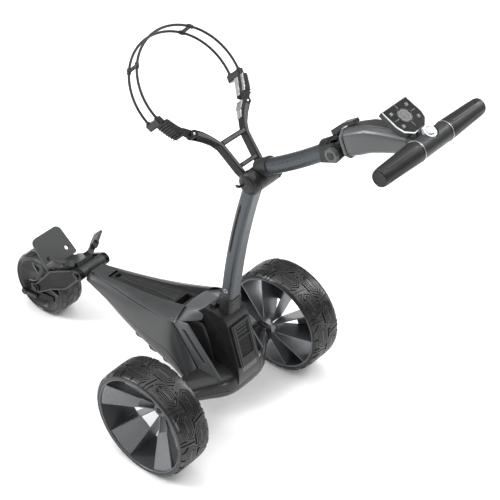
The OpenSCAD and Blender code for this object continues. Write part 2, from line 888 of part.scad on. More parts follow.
// Fixed head on the shaft, forked around the handle's tilt hinge.
module clamp_head() {
    color("#1d1e1f") place() difference() {
        union() {
            shaft_frame() translate([0, 0, shaft_len - 26]) cylinder(r = 25, h = 24);
            both_sides() side_plate([[312, 900], [352, 916], [366, 936], [356, 956],
                [336, 956], [304, 934]], 19, 26);
            both_sides() rod_x(tilt_axis, 18, 19, 26);
        }
        shaft_sweep(20) circle(r = shaft_d / 2 + 0.02);
        rod_x(tilt_axis, 5 + run, -40, 40);
        rod_x(tilt_axis, 19.5, -18.6, 18.6);
    }
}

module handle_knob() {
    color("#2e2f30") place() difference() {
        union() {
            rod_x(tilt_axis, 5, -26, 30);
            rod_x(tilt_axis, 15, 26.4, 38);
            for (i = [0 : 9])
                along_x(tilt_axis, 26.8) rotate(i * 36) translate([14.5, 0, 0])
                    cylinder(r = 2, h = 10.8, $fn = 16);
        }
        rod_x(tilt_axis, 9, 36, 40);
    }
}

// Over-centre lever that locks the handle's height.
module clamp_lever() {
    color("#161616") place() {
        tube_x([0, 332, 968], 6, 2.5, -9, 9);
        side_plate([[326, 967], [321, 974], [348, 1002], [376, 1021], [381, 1015],
                    [353, 997], [337, 972]], -9, 9);
    }
}

// ---- handle ----------------------------------------------------------------------------

// Octagonal stations along the neck: y, z, rise, half width and half height.
neck_stations = [[370, 969, 24, 30, 29], [426, 1001, 22, 29, 28], [486, 1020, 16, 28, 24],
                 [548, 1038, 16, 27, 19]];

module neck_section(w, h, c) {
    polygon([[-w, -h + c], [-w + c, -h], [w - c, -h], [w, -h + c],
             [w, h - c], [w - c, h], [-w + c, h], [-w, h - c]]);
}

module neck_shape(grow) {
    for (i = [0 : 2]) hull()
        for (k = [i, i + 1]) {
            st = neck_stations[k];
            translate([0, st[0], st[1]]) rotate([st[2] - 90, 0, 0])
                linear_extrude(0.5) neck_section(st[3] + grow, st[4] + grow, 10);
        }
}

module handle_neck() {
    color("#58595b") place() difference() {
        union() {
            difference() {
                neck_shape(0);
                difference() {
                    neck_shape(-3.5);
                    // closed front end
                    translate([0, 370, 969]) rotate([-66, 0, 0])
                        translate([-50, -50, -8]) cube([100, 100, 16]);
                }
                rod_x(bar_axis, 22.05, -60, 60);
                // seats of the dial and of the display
                dial_frame() translate([0, 0, -13]) cylinder(r = 20, h = 40);
                console_frame() translate([0, 0, -2]) linear_extrude(12) console_outline(1);
            }
            rod_x(tilt_axis, 17, -18, 18);
            side_plate([[345, 919], [345, 953], [376, 990], [394, 958]], -18, 18);
        }
        rod_x(tilt_axis, 5 + run, -60, 60);
        // clears the clamp head when the handle tilts
        both_sides() rod_x(tilt_axis, 28, 18.4, 40);
    }
}

module handle_bar() {
    color("#47494b") place() difference() {
        union() {
            rod_x(bar_axis, 22, -46, 46);
            rod_x(bar_axis, 14, -grip_end + 7, grip_end - 7);
            both_sides() rod_x(bar_axis, 23, 46, 48);
            dial_frame() translate([0, 0, -12]) cylinder(r = 19.5, h = 14);
        }
        rod_x(bar_axis, 10, -grip_end, grip_end);
        // seat of the speed dial
        dial_frame() translate([0, 0, -10]) cylinder(r = 6 + run, h = 20);
        dial_frame() cylinder(r = 17.5, h = 30);
    }
}

module dial_frame() {
    translate(dial_seat) rotate([console_tilt, 0, 0]) children();
}

module grip() {
    difference() {
        union() {
            along_x(bar_axis, 48.2) cylinder(r1 = grip_d / 2, r2 = grip_d / 2 - 3.5,
                h = grip_end - 54.2);
            along_x(bar_axis, grip_end - 6) cylinder(r1 = grip_d / 2 - 3.5,
                r2 = grip_d / 2 - 7, h = 6);
        }
        rod_x(bar_axis, 14, 40, grip_end - 7);
    }
}

module hand_grips() {
    color("#1a1a1b") place() both_sides() grip();
}

// Shield-shaped housing: wide at the front, narrowing to the dial.
console_edge = [[40, -34], [41, 10], [36, 27], [23, 37], [18, 54]];

module console_outline(inset) {
    offset(r = -inset) polygon(concat(console_edge,
        [for (i = [len(console_edge) - 1 : -1 : 0]) [-console_edge[i][0], console_edge[i][1]]]));
}

module console_frame() {
    translate(console_mid) rotate([console_tilt, 0, 0]) children();
}

module console() {
    color("#222324") place() difference() {
        union() {
            console_frame() translate([0, 0, -10]) linear_extrude(12) console_outline(0);
            console_frame() hull() {
                translate([0, 0, -11]) linear_extrude(1) console_outline(4);
                translate([0, 0, -24]) linear_extrude(1) console_outline(12);
            }
        }
        console_frame() translate([0, 0, -1.5]) linear_extrude(6) console_outline(3);
        neck_shape(0);
        rod_x(bar_axis, 23.4, -60, 60);
        dial_frame() translate([0, 0, -13]) cylinder(r = 20, h = 40);
    }
}

module display() {
    color("#0b0c0d") place() difference() {
        console_frame() translate([0, 0, -1.4]) linear_extrude(3) console_outline(3.3);
        dial_frame() translate([0, 0, -13]) cylinder(r = 20, h = 40);
    }
}

module speed_dial() {
    color("#c4c6c8") place() dial_frame() difference() {
        union() {
            translate([0, 0, 0.4]) cylinder(r = 15.5, h = 5);
            translate([0, 0, 5.4]) cylinder(r = 14, h = 5);
            translate([0, 0, -9]) cylinder(r = 6, h = 11);
        }
        translate([0, 0, 4]) cylinder(r = 10.2, h = 20);
    }
}

module dial_button() {
    color("#d8dadc") place() dial_frame() translate([0, 0, 6.4]) {
        cylinder(r = 9.8, h = 4.6);
        translate([0, 0, 4.6]) cylinder(r1 = 9.8, r2 = 8, h = 1);
    }
}

// ---- wiring ----------------------------------------------------------------------------

// Lead from the battery socket back through the tower to the motor.
cable_route = [[0, -86.4, 246], [0, -74, 248], [0, -60, 249], [1, -46, 248], [4, -34, 243],
    [9, -24, 233], [15, -14, 220], [21, -4, 207], [27, 7, 195], [31, 18, 185],
    [34, 28, 177], [35, 35.2, 169.4]];

module power_cable() {
    color("#141414") place() {
        last = len(cable_route) - 1;
        loft([for (i = [0 : last])
            let (t = unit(cable_route[min(i + 1, last)] - cable_route[max(i - 1, 0)]),
                 u = unit(cross(t, [0, 0, 1])),
                 v = cross(u, t))
            [for (k = [0 : 7]) cable_route[i] + 2.5 * (cos(k * 45) * u - sin(k * 45) * v)]]);
    }
}

chassis_tub();
top_cover();
mast_tower();
rear_panel();
side_strut_left();
side_strut_right();
neck_bracket();
axle_fairing();
gearbox_case();
gearbox_cover();
motor_can();
axle_tubes();
axle_bearings();
controller_board();
battery_socket();
power_cable();
fold_pins();
battery();
front_fork();
bag_base();
front_axle();
front_rim();
front_tyre();
front_bearings();
lower_arm_left();
lower_arm_right();
tracking_lever();
rear_rim_left();
rear_rim_right();
rear_tyre_left();
rear_tyre_right();
wheel_clutch_left();
wheel_clutch_right();
wheel_button_left();
wheel_button_right();
drive_axle();
drive_gear();
motor_pinion();
mast_tube();
mast_foot();
hinge_lower();
bag_bracket();
strap_cords();
strap_spacers();
upper_arm_left();
upper_arm_right();
arm_pins();
shaft_tube();
hinge_upper();
clamp_head();
hinge_knob();
handle_neck();
handle_bar();
hand_grips();
console();
display();
clamp_lever();
handle_knob();
speed_dial();
dial_button();
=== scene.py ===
import math

import bmesh
import bpy
from mathutils import Matrix, Vector


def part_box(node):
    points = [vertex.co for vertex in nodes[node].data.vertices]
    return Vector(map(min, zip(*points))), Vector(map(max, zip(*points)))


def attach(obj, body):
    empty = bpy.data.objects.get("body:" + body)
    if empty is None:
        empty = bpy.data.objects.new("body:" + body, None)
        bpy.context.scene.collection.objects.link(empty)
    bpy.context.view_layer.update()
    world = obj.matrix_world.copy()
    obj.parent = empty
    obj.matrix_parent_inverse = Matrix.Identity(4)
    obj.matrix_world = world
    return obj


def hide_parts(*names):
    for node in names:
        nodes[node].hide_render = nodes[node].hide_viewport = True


# Electric golf trolley. Shapes are written in millimetres and scaled to metres in piece().

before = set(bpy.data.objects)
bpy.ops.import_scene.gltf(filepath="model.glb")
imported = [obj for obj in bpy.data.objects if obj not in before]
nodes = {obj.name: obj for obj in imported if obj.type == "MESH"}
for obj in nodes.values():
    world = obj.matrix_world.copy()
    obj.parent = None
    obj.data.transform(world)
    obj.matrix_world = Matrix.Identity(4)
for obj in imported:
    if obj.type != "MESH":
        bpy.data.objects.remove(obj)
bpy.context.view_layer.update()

MM = 0.001
SIDES = ((1, "left"), (-1, "right"))


# ---- places, repeated from the CAD source: the rear axle is above y = 0 before PLACE ------

def tr(x=0.0, y=0.0, z=0.0):
    return Matrix.Translation((x, y, z))


def rot(axis, degrees):
    return Matrix.Rotation(math.radians(degrees), 4, axis)


def along_x(at, x=0.0):
    return tr(x, at[1], at[2]) @ rot("Y", 90)


PLACE = tr(0, 68, 0)
WHEEL_R = 145.0
WHEEL_IN = 201.0
WHEEL_W = 95.0
RIM_R = WHEEL_R - 14
REAR_AXIS = (0, 0, WHEEL_R)
FRONT_AXIS = (0, -624, 93)
FOLD_AXIS = (0, -449, 223)
MID_HINGE = (0, 128, 770)
HINGE_R = 27.0
TILT_AXIS = (0, 345, 936)
BAR_AXIS = (0, 557, 1044)
DECK = PLACE @ tr(0, -237, 266.5) @ rot("X", 10.3)
DIAL = PLACE @ tr(0, 549.5, 1058) @ rot("X", -24.4)
CONSOLE = PLACE @ tr(0, 494, 1075) @ rot("X", -24.4)
MIRROR = Matrix.Scale(-1, 4, (1, 0, 0))


def bag(origin):
    return PLACE @ tr(*origin) @ rot("X", 135)


def sided(sx, place):
    """The place itself on the left, its mirror image on the right."""
    return place if sx > 0 else MIRROR @ place


# ---- materials ------------------------------------------------------------------------

def ramp(tree, source, low, high, positions=(0.3, 0.7)):
    node = tree.nodes.new("ShaderNodeMapRange")
    node.inputs["From Min"].default_value = positions[0]
    node.inputs["From Max"].default_value = positions[1]
    node.inputs["To Min"].default_value = low
    node.inputs["To Max"].default_value = high
    tree.links.new(source, node.inputs["Value"])
    return node.outputs["Result"]


def noise(tree, vector, scale, detail=3.0, rough=0.55):
    node = tree.nodes.new("ShaderNodeTexNoise")
    node.inputs["Scale"].default_value = scale
    node.inputs["Detail"].default_value = detail
    node.inputs["Roughness"].default_value = rough
    tree.links.new(vector, node.inputs["Vector"])
    return node.outputs["Fac"]


def mix_colour(tree, factor, start, end):
    """Colour mix; each end is a colour, or a socket to link."""
    node = tree.nodes.new("ShaderNodeMix")
    node.data_type = "RGBA"
    tree.links.new(factor, node.inputs["Factor"])
    for name, value in (("A", start), ("B", end)):
        if isinstance(value, bpy.types.NodeSocket):
            tree.links.new(value, node.inputs[name])
        else:
            node.inputs[name].default_value = (*value, 1)
    return node.outputs["Result"]


PATCH_SCALE = 9.0
SCUFF_SCALE = 160.0
SCUFF_ROUGHNESS = 0.12
RELIEF_DEPTH = 0.0004
COAT_ROUGHNESS = 0.12


def finish_material(name, colour, rough, metallic=0.0, spread=0.12, grain=1400.0, bump=0.05,
                    wear=0.25, coat=0.0, specular=0.5, sheen=0.0):
    """Moulded or painted surface: grain, roughness patches, colour drift and rubbed edges."""
    mat = bpy.data.materials.new(name)
    mat.use_nodes = True
    tree = mat.node_tree
    shader = tree.nodes["Principled BSDF"]
    where = tree.nodes.new("ShaderNodeTexCoord").outputs["Object"]
    patches = noise(tree, where, PATCH_SCALE, 4.0)
    fine = noise(tree, where, grain, 2.0)
    scuffs = noise(tree, where, SCUFF_SCALE, 6.0, 0.7)
    tint = mix_colour(tree, ramp(tree, patches, 0.0, 1.0), [c * (1 - spread) for c in colour],
                 [c * (1 + spread) for c in colour])
    edge = tree.nodes.new("ShaderNodeNewGeometry").outputs["Pointiness"]
    rubbed = tree.nodes.new("ShaderNodeMath")
    rubbed.operation = "MULTIPLY"
    tree.links.new(ramp(tree, edge, 0.0, wear, (0.52, 0.62)), rubbed.inputs[0])
    tree.links.new(ramp(tree, scuffs, 0.0, 1.0, (0.35, 0.6)), rubbed.inputs[1])
    worn = mix_colour(tree, rubbed.outputs[0], tint, [min(1.0, c * 2.2 + 0.05) for c in colour])
    tree.links.new(worn, shader.inputs["Base Color"])
    mixed = tree.nodes.new("ShaderNodeMath")
    mixed.operation = "MULTIPLY_ADD"
    tree.links.new(ramp(tree, scuffs, -0.5, 0.5, (0.3, 0.7)), mixed.inputs[0])
    mixed.inputs[1].default_value = SCUFF_ROUGHNESS
    tree.links.new(ramp(tree, patches, rough * 0.9, rough * 1.1), mixed.inputs[2])
    tree.links.new(mixed.outputs[0], shader.inputs["Roughness"])
    relief = tree.nodes.new("ShaderNodeBump")
    relief.inputs["Strength"].default_value = bump
    relief.inputs["Distance"].default_value = RELIEF_DEPTH
    tree.links.new(fine, relief.inputs["Height"])
    tree.links.new(relief.outputs["Normal"], shader.inputs["Normal"])
    shader.inputs["Metallic"].default_value = metallic
    shader.inputs["Coat Weight"].default_value = coat
    shader.inputs["Coat Roughness"].default_value = COAT_ROUGHNESS
    shader.inputs["Specular IOR Level"].default_value = specular
    shader.inputs["Sheen Weight"].default_value = sheen
    return mat


FINISHES = {
    "shell_black": dict(colour=(0.0075, 0.0078, 0.0082), rough=0.32, coat=0.12, specular=0.32),
    "shell_graphite": dict(colour=(0.0175, 0.0185, 0.0192), rough=0.38, specular=0.36),
    "cover_graphite": dict(colour=(0.030, 0.0315, 0.0325), rough=0.36, specular=0.42),
    "battery_case": dict(colour=(0.012, 0.0123, 0.0126), rough=0.42, bump=0.1, specular=0.35),
    "wheel_paint": dict(colour=(0.155, 0.160, 0.168), rough=0.33, metallic=0.7, spread=0.06,
                        bump=0.02, wear=0.06),
    "tyre_rubber": dict(colour=(0.0085, 0.0087, 0.009), rough=0.34, grain=900.0, bump=0.1,
                        wear=0.4, specular=0.45),
    "mast_paint": dict(colour=(0.046, 0.053, 0.060), rough=0.32, metallic=0.5, spread=0.06,
                       grain=2600.0, bump=0.03, wear=0.05, coat=0.08),
    "satin_black": dict(colour=(0.006, 0.0061, 0.0064), rough=0.3, bump=0.06, wear=0.12,
                        specular=0.2),
    "black_plastic": dict(colour=(0.0078, 0.008, 0.0083), rough=0.34, bump=0.06, specular=0.32),
    "grip_rubber": dict(colour=(0.0072, 0.0074, 0.0076), rough=0.42, grain=700.0, bump=0.2,
                        specular=0.32),
    "elastic_cord": dict(colour=(0.008, 0.008, 0.0083), rough=0.6, grain=900.0, bump=0.5,
                         sheen=0.2, specular=0.3),
    "steel": dict(colour=(0.52, 0.53, 0.54), rough=0.28, metallic=1.0, bump=0.03),
    "gear_brass": dict(colour=(0.55, 0.42, 0.20), rough=0.35, metallic=1.0),
    "cast_case": dict(colour=(0.30, 0.31, 0.32), rough=0.5, metallic=0.9, grain=500.0, bump=0.3),
    "silver_trim": dict(colour=(0.40, 0.41, 0.42), rough=0.34, metallic=1.0, bump=0.02),
    "display_glass": dict(colour=(0.004, 0.0041, 0.0043), rough=0.30, bump=0.02, specular=0.1),
    "board_green": dict(colour=(0.02, 0.12, 0.05), rough=0.45),
    # paler grey; on the neck and its ring it is a painted highlight
    "panel_grey": dict(colour=(0.060, 0.0635, 0.066), rough=0.34, specular=0.5),
    "print_white": dict(colour=(0.42, 0.43, 0.43), rough=0.5, bump=0.02),
}
MATS = {name: finish_material(name, **look) for name, look in FINISHES.items()}


# ---- mesh building --------------------------------------------------------------------

WELD = 0.01
EDGE_SEGMENTS = 2


def soften(obj, width, angle, harden=False):
    """Bevel on edges sharper than the angle; the width is in millimetres."""
    soft = obj.modifiers.new("edge", "BEVEL")
    soft.width = width * MM
    soft.segments = EDGE_SEGMENTS
    soft.limit_method = "ANGLE"
    soft.angle_limit = math.radians(angle)
    soft.harden_normals = harden


def thicken(obj, thick, offset=-1):
    wall = obj.modifiers.new("wall", "SOLIDIFY")
    wall.thickness = thick * MM
    wall.offset = offset


def subdivide(obj):
    sub = obj.modifiers.new("round", "SUBSURF")
    sub.levels = sub.render_levels = 1


def piece(name, verts, faces, at, mat, body, slot=None, bevel=0.5, angle=30, replaces=()):
    """A mesh written in millimetres, turned into place, with softened edges."""
    mesh = bpy.data.meshes.new(name)
    mesh.from_pydata([tuple(v) for v in verts], [], [tuple(f) for f in faces])
    bm = bmesh.new()
    bm.from_mesh(mesh)
    bmesh.ops.remove_doubles(bm, verts=bm.verts, dist=WELD)
    bmesh.ops.transform(bm, matrix=Matrix.Scale(MM, 4) @ at, verts=bm.verts)
    bmesh.ops.recalc_face_normals(bm, faces=bm.faces)
    for face in bm.faces:
        face.smooth = True
    bm.to_mesh(mesh)
    bm.free()
    obj = bpy.data.objects.new(name, mesh)
    bpy.context.scene.collection.objects.link(obj)
    mesh.materials.append(MATS[mat])
    if bevel:
        soften(obj, bevel, angle, harden=True)
    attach(obj, body)
    if replaces:
        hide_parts(*replaces)
    return obj


def ring_faces(count, n, closed_ends=True, loop=False):
    faces = []
    for k in range(count if loop else count - 1):
        a, b = k * n, ((k + 1) % count) * n
        for i in range(n):
            j = (i + 1) % n
            faces.append((a + i, a + j, b + j, b + i))
    if closed_ends and not loop:
        faces.append(tuple(reversed(range(n))))
        faces.append(tuple(range((count - 1) * n, count * n)))
    return faces


def sheet_faces(count, n):
    """Quads of an open sheet of count rows with n points each."""
    return [(k * n + i, k * n + i + 1, (k + 1) * n + i + 1, (k + 1) * n + i)
            for k in range(count - 1) for i in range(n - 1)]


def bar_faces(n, steps):
    """Sides of a flat bar between two outlines: n points outside, inside, and again above."""
    faces = []
    for i in range(steps):
        j = (i + 1) % n
        faces += [(i, j, n + j, n + i), (2 * n + i, 2 * n + j, 3 * n + j, 3 * n + i),
                  (i, j, 2 * n + j, 2 * n + i), (n + i, n + j, 3 * n + j, 3 * n + i)]
    return faces


def flatten(rings):
    return [p for ring in rings for p in ring]


def loft(rings):
    """Skin through rings with one number of points, closed at both ends."""
    return flatten(rings), ring_faces(len(rings), len(rings[0]))


def oval(r, z, squash, steps=48):
    turns = [2 * math.pi * i / steps for i in range(steps)]
    return [(r * math.cos(a), r * squash * math.sin(a), z) for a in turns]


def lathe(profile, steps=96):
    """Closed [radius, height] outline turned about Z."""
    rings = []
    for k in range(steps):
        a = 2 * math.pi * k / steps
        rings.append([(r * math.cos(a), r * math.sin(a), z) for r, z in profile])
    return flatten(rings), ring_faces(steps, len(profile), loop=True)


def flat_ring(r0, r1, low, high, steps=48):
    return lathe([(r0, low), (r1, low), (r1, high), (r0, high)], steps)


def extrude(outline, low, high):
    return loft([[(x, y, z) for x, y in outline] for z in (low, high)])


def rectangle(x0, y0, x1, y1, low, high):
    return extrude([(x0, y0), (x1, y0), (x1, y1), (x0, y1)], low, high)


def merge(*meshes):
    verts, faces = [], []
    for v, f in meshes:
        start = len(verts)
        verts += [tuple(p) for p in v]
        faces += [tuple(i + start for i in face) for face in f]
    return verts, faces


def moved(mesh, matrix):
    verts, faces = mesh
    return [matrix @ Vector(v) for v in verts], faces


# ---- CAD nodes that stay: softened edges and a real finish ------------------------------

def finish_node(obj, width):
    weld = obj.modifiers.new("weld", "WELD")
    weld.merge_threshold = 0.02 * MM
    soften(obj, width, 32)
    even = obj.modifiers.new("shade", "WEIGHTED_NORMAL")
    even.keep_sharp = False
    even.weight = 60


PLAIN_ROUNDING = 0.5
ROUNDING = {"handle_neck": 1.6, "mast_tower": 2.4, "axle_fairing": 2.0, "front_fork": 1.4,
            "bag_base": 1.0, "bag_bracket": 1.2, "clamp_head": 1.0, "console": 1.0,
            "side_strut_left": 1.2, "side_strut_right": 1.2, "hinge_upper": 1.0}

# finishes that differ from the slot's own: node names or their beginnings
REPAINT = {"satin_black": ("bag_bracket", "upper_arm_", "front_axle", "fold_pins"),
           "display_glass": ("front_fork",), "panel_grey": ("side_strut", "handle_knob")}

for node_name, node_obj in nodes.items():
    for node_slot in node_obj.material_slots:
        base = node_slot.material.name.split(".")[0]
        if base in MATS:
            node_slot.material = MATS[base]
        for look, starts in REPAINT.items():
            if node_name.startswith(starts):
                node_slot.material = MATS[look]
    finish_node(node_obj, ROUNDING.get(node_name, PLAIN_ROUNDING))


# ---- rear tyres -------------------------------------------------------------------------

GROUPS = 10
PITCH = 360 / GROUPS
TREAD_START = 7
CROWN = [(0, 136.0), (4, 139.8), (12, 141.6), (24, 142.2), (71, 142.2), (84, 141.4),
         (91, 139.5), (WHEEL_W, 136.0)]
BLOCK_SINK = 1.5
ARC_STEP = 3


def carcass_r(w):
    """Radius of the tyre under its blocks at axial place w."""
    for (w0, r0), (w1, r1) in zip(CROWN, CROWN[1:]):
        if w <= w1:
            return r0 + (r1 - r0) * (w - w0) / (w1 - w0)
    return CROWN[-1][1]


def cut_all(bm, place, normal):
    geom = list(bm.verts) + list(bm.edges) + list(bm.faces)
    bmesh.ops.bisect_plane(bm, geom=geom, plane_co=place, plane_no=normal)


def block(outline, height):
    """Raised tread block from a flat [angle, width] outline, wrapped round the tyre."""
    bm = bmesh.new()
    bm.faces.new([bm.verts.new((u, w, 0)) for u, w in outline])
    us = [u for u, w in outline]
    ws = [w for u, w in outline]
    cut = math.ceil(min(us) / ARC_STEP) * ARC_STEP
    while cut < max(us):
        cut_all(bm, (cut, 0, 0), (1, 0, 0))
        cut += ARC_STEP
    for line, _ in CROWN[1:-1]:
        if min(ws) < line < max(ws):
            cut_all(bm, (0, line, 0), (0, 1, 0))
    made = bmesh.ops.extrude_face_region(bm, geom=list(bm.faces))
    top = {g for g in made["geom"] if isinstance(g, bmesh.types.BMVert)}
    bm.verts.index_update()
    verts = []
    for v in bm.verts:
        r = carcass_r(v.co.y) + (height if v in top else -BLOCK_SINK)
        a = math.radians(v.co.x)
        verts.append((r * math.cos(a), r * math.sin(a), v.co.y))
    faces = [tuple(v.index for v in f.verts) for f in bm.faces]
    bm.free()
    return verts, faces


def hexagon(u, w, half_u, half_w, point):
    return [(u - half_u, w), (u - half_u + point, w + half_w), (u + half_u - point, w + half_w),
            (u + half_u, w), (u + half_u - point, w - half_w), (u - half_u + point, w - half_w)]


def frame_blocks(u, w, half_u, half_w, point, band_u, band_w, height):
    """A hexagonal frame as six bars."""
    outer = hexagon(u, w, half_u, half_w, point)
    inner = hexagon(u, w, half_u - band_u, half_w - band_w, point - band_u * 0.25)
    return [block([outer[i], outer[(i + 1) % 6], inner[(i + 1) % 6], inner[i]], height)
            for i in range(6)]


def tread():
    """One pitch of the tread, repeated round the tyre: nested hexagons and double slashes."""
    top = 2.7
    shoulder = 0.1
    parts = []
    for u, w in ((0, 66), (PITCH / 2, 29)):
        for half_u, half_w, point, band_u, band_w in (
                (16.8, 18.0, 5.6, 2.3, 3.6), (13.4, 12.6, 4.4, 2.0, 3.2),
                (10.2, 7.8, 3.2, 1.6, 2.6)):
            parts += frame_blocks(u, w, half_u, half_w, point, band_u, band_w, top)
        parts.append(block(hexagon(u, w, 7.6, 3.6, 1.6), top))
    for u, w0, w1, w2 in ((PITCH / 2, 52, 84, 94.4), (0, 43, 11, 0.6)):
        for shift in (-4.4, -0.4):
            parts.append(block([(u + shift, w0), (u + shift + 1.9, w0),
                                (u + shift + 4.9, w1), (u + shift + 4.9, w2),
                                (u + shift + 2.6, w2), (u + shift + 2.6, w1)], top + 0.1))
        for s in (-1, 1):
            start = w1 + (w2 - w1) * shoulder
            parts.append(block([(u + s * 7.4, start), (u + s * 16.8, start),
                                (u + s * 16.8, w2), (u + s * 8.4, w2)], top - 0.2))
    return merge(*parts)


ONE_PITCH = tread()
for sx, tag in SIDES:
    body = "wheel_" + tag[0]
    at_wheel = sided(sx, PLACE @ along_x(REAR_AXIS, WHEEL_IN))
    carcass = [(RIM_R, 2), (RIM_R, WHEEL_W - 6), (RIM_R + 2.2, WHEEL_W - 5),
               (RIM_R + 2.6, WHEEL_W - 0.8), (RIM_R + 4, WHEEL_W)]
    carcass += [(r, w) for w, r in CROWN[::-1]] + [(RIM_R + 2.5, 0)]
    piece("tyre_carcass_" + tag, *lathe(carcass, 120), at_wheel, "tyre_rubber", body,
          bevel=0.6, replaces=("rear_tyre_" + tag,))
    lip = [(126.8, 93.6), (128.2, 95.2), (136, 96), (138.4, 94.6), (136, 93)]
    piece("tyre_lip_" + tag, *lathe(lip, 120), at_wheel, "tyre_rubber", body, bevel=0.4)
    line = [(127.4, 94.9), (128.3, 95.8), (129.2, 95.6), (128.3, 94.6)]
    piece("rim_line_" + tag, *lathe(line, 120), at_wheel, "wheel_paint", body, bevel=0.2)
    ring = merge(*[moved(ONE_PITCH, rot("Z", k * PITCH + TREAD_START)) for k in range(GROUPS)])
    piece("tyre_tread_" + tag, *ring, at_wheel, "tyre_rubber", body, bevel=0.55)


# ---- chassis shell ----------------------------------------------------------------------

def between(stations, y):
    """Values at y, in straight lines between [y, value, ...] stations."""
    if y <= stations[0][0]:
        return stations[0][1:]
    for low, high in zip(stations, stations[1:]):
        if y <= high[0]:
            t = (y - low[0]) / (high[0] - low[0])
            return tuple(a + (b - a) * t for a, b in zip(low[1:], high[1:]))
    return stations[-1][1:]


def open_skin(name, rows, at, mat, thick=2.5, replaces=(), slot=None):
    """Smooth sheet of the chassis through rows of points, thickened inward."""
    faces = sheet_faces(len(rows), len(rows[0]))
    obj = piece(name, flatten(rows), faces, at, mat, "chassis", slot=slot, bevel=0,
                replaces=replaces)
    subdivide(obj)
    thicken(obj, thick)
    soften(obj, 0.6, 50)


# y, half width and height of the top edge, half width and height of the lower edge
SKIRT = [(-431, 24.3, 226.0, 33, 205), (-405, 25.0, 231.0, 38, 200), (-355, 35.5, 236.5, 45, 195),
         (-290, 49.0, 243.5, 63, 186), (-217, 62.5, 254.0, 80, 179), (-160, 72.5, 266.0, 91, 174),
         (-112, 80.5, 280.0, 97, 169), (-88, 84.4, 289.0, 99, 164), (-70, 84.6, 272.0, 101, 159),
         (-45, 84.4, 238.0, 104, 152), (-15, 84.2, 197.0, 110, 144), (6, 84.0, 170.0, 112, 142)]

# share of the way down from the top edge, and how far the flank bulges there
FLANK = ((-0.035, -0.6), (0.0, 0.8), (0.08, 3.0), (0.2, 5.8), (0.38, 8.2), (0.58, 8.4),
         (0.62, 8.2), (0.8, 6.0), (0.95, 1.6))
# points of a skirt row from the seam under the flank to the middle
SKIRT_CUT = 6


def skirt_row(side_y):
    xt, zt, xb, zb = between(SKIRT, side_y)
    half = [(xt + (xb - xt) * t + bulge, side_y, zt + (zb - zt) * t) for t, bulge in FLANK]
    half += [(xb - 2.5, side_y, zb - 3.5), (xb - 12, side_y, zb - 8), (xb * 0.45, side_y, zb - 9)]
    return [(-x, y, z) for x, y, z in half] + [(0, side_y, zb - 9)] + half[::-1]


skirt_rows = [skirt_row(station[0]) for station in SKIRT]
# one skirt in two finishes: the paler upper strip paints the light on its upturned face, the black
# lower part paints the shade below
open_skin("chassis_skirt", [row[SKIRT_CUT:-SKIRT_CUT] for row in skirt_rows], PLACE,
          "shell_black", 2.6, replaces=("chassis_tub",))
for tag, cut in (("right", slice(0, SKIRT_CUT + 1)), ("left", slice(-SKIRT_CUT - 1, None))):
    open_skin("skirt_lit_strip_" + tag, [row[cut] for row in skirt_rows], PLACE, "cover_graphite", 2.6)
nose = skirt_rows[0]
nose_end = [(x * 0.96, y + 5, z + (0.6 if z < 215 else -1)) for x, y, z in nose]
piece("chassis_nose", *loft([nose, nose_end]), PLACE, "shell_black", "chassis", bevel=1.0)
# little brackets under the skirt
for sx in (-1, 1):
    for yb, depth in ((-205, 7), (-150, 9), (-96, 6)):
        _, _, xb, zb = between(SKIRT, yb)
        shape = [(yb - 15, zb - 4), (yb - 9, zb - 4 - depth), (yb + 10, zb - 4 - depth),
                 (yb + 16, zb - 5)]
        v, f = extrude(shape, -4, 4)
        v = [(sx * (xb - 9) + z, x, y) for x, y, z in v]
        piece(f"skirt_clip_{'l' if sx > 0 else 'r'}{abs(yb)}", v, f, PLACE, "black_plastic",
              "chassis", bevel=0.8)


def battery_flare(y):
    """How much wider than its front end the battery is at y, on each side."""
    return 23 * max(0.0, y + 128) / 274


def cover_side(sx):
    """One half of the top cover: outer edge, crown, and the wall of the battery recess."""
    edge = [(-197, -1.0), (-160, -2.2), (-120, -5.0), (-60, -9.0), (0, -10.5), (60, -8.5),
            (110, -5.0), (150, -2.0), (171, 0.0)]
    rim = [(-197, 0.2), (-160, 0.6), (-120, 1.6), (-60, 3.0), (0, 4.5), (60, 8.0), (110, 14.5),
           (150, 21.0), (171, 24.0)]
    rows = []
    for (y, e), (_, c) in zip(edge, rim):
        w = 25 + 63 * (y + 171) / 342
        wi = min(16.5 + battery_flare(y), w - 5)
        row = [(w - 0.3, y, e - 3.2), (w, y, e - 1.0), (w - 1.6, y, e + 0.8)]
        for t in (0.2, 0.42, 0.64, 0.84):
            rise = (e + 0.8) + (c - e - 0.8) * (1 - (1 - t) ** 1.5)
            row.append((w - 1.6 + (wi + 1.5 - w + 1.6) * t, y, rise))
        row += [(wi + 1.4, y, c), (wi, y, c - 1.4), (wi - 0.4, y, min(c - 4, 0.4)),
                (wi - 0.6, y, -5.0)]
        rows.append([(sx * x, yy, z) for x, yy, z in row])
    return rows


for sx, tag in SIDES:
    open_skin("cover_panel_" + tag, cover_side(sx), DECK, "cover_graphite", 2.0,
              replaces=("top_cover",))
# bridge of the cover in front of the battery
front_bridge = [[(x, y, z) for x in (-22, -16, 0, 16, 22)]
                for y, z in ((-196, -0.2), (-184, 0.4), (-150, 1.0), (-136, 1.0))]
open_skin("cover_nose", front_bridge, DECK, "cover_graphite")
# saddle that closes the gap between the cover's rear rims and the tower
saddle = []
for y, stops in ((166, ((84.5, -1.5), (72, 4), (54, 13), (38, 20.5), (20, 22), (0, 22.5))),
                 (182, ((73, -2.5), (65, 4), (51, 13), (37, 21.5), (20, 24), (0, 24.5))),
                 (202, ((56, -3.5), (50, 5), (43, 14), (33, 23), (18, 26), (0, 26.5))),
                 (222, ((42, -5), (40, 6), (37, 16), (29, 24), (16, 27), (0, 27.5)))):
    saddle.append([(-x, y, z) for x, z in stops] + [(x, y, z) for x, z in stops[-2::-1]])
open_skin("cover_saddle", saddle, DECK, "panel_grey", slot="cover_graphite")

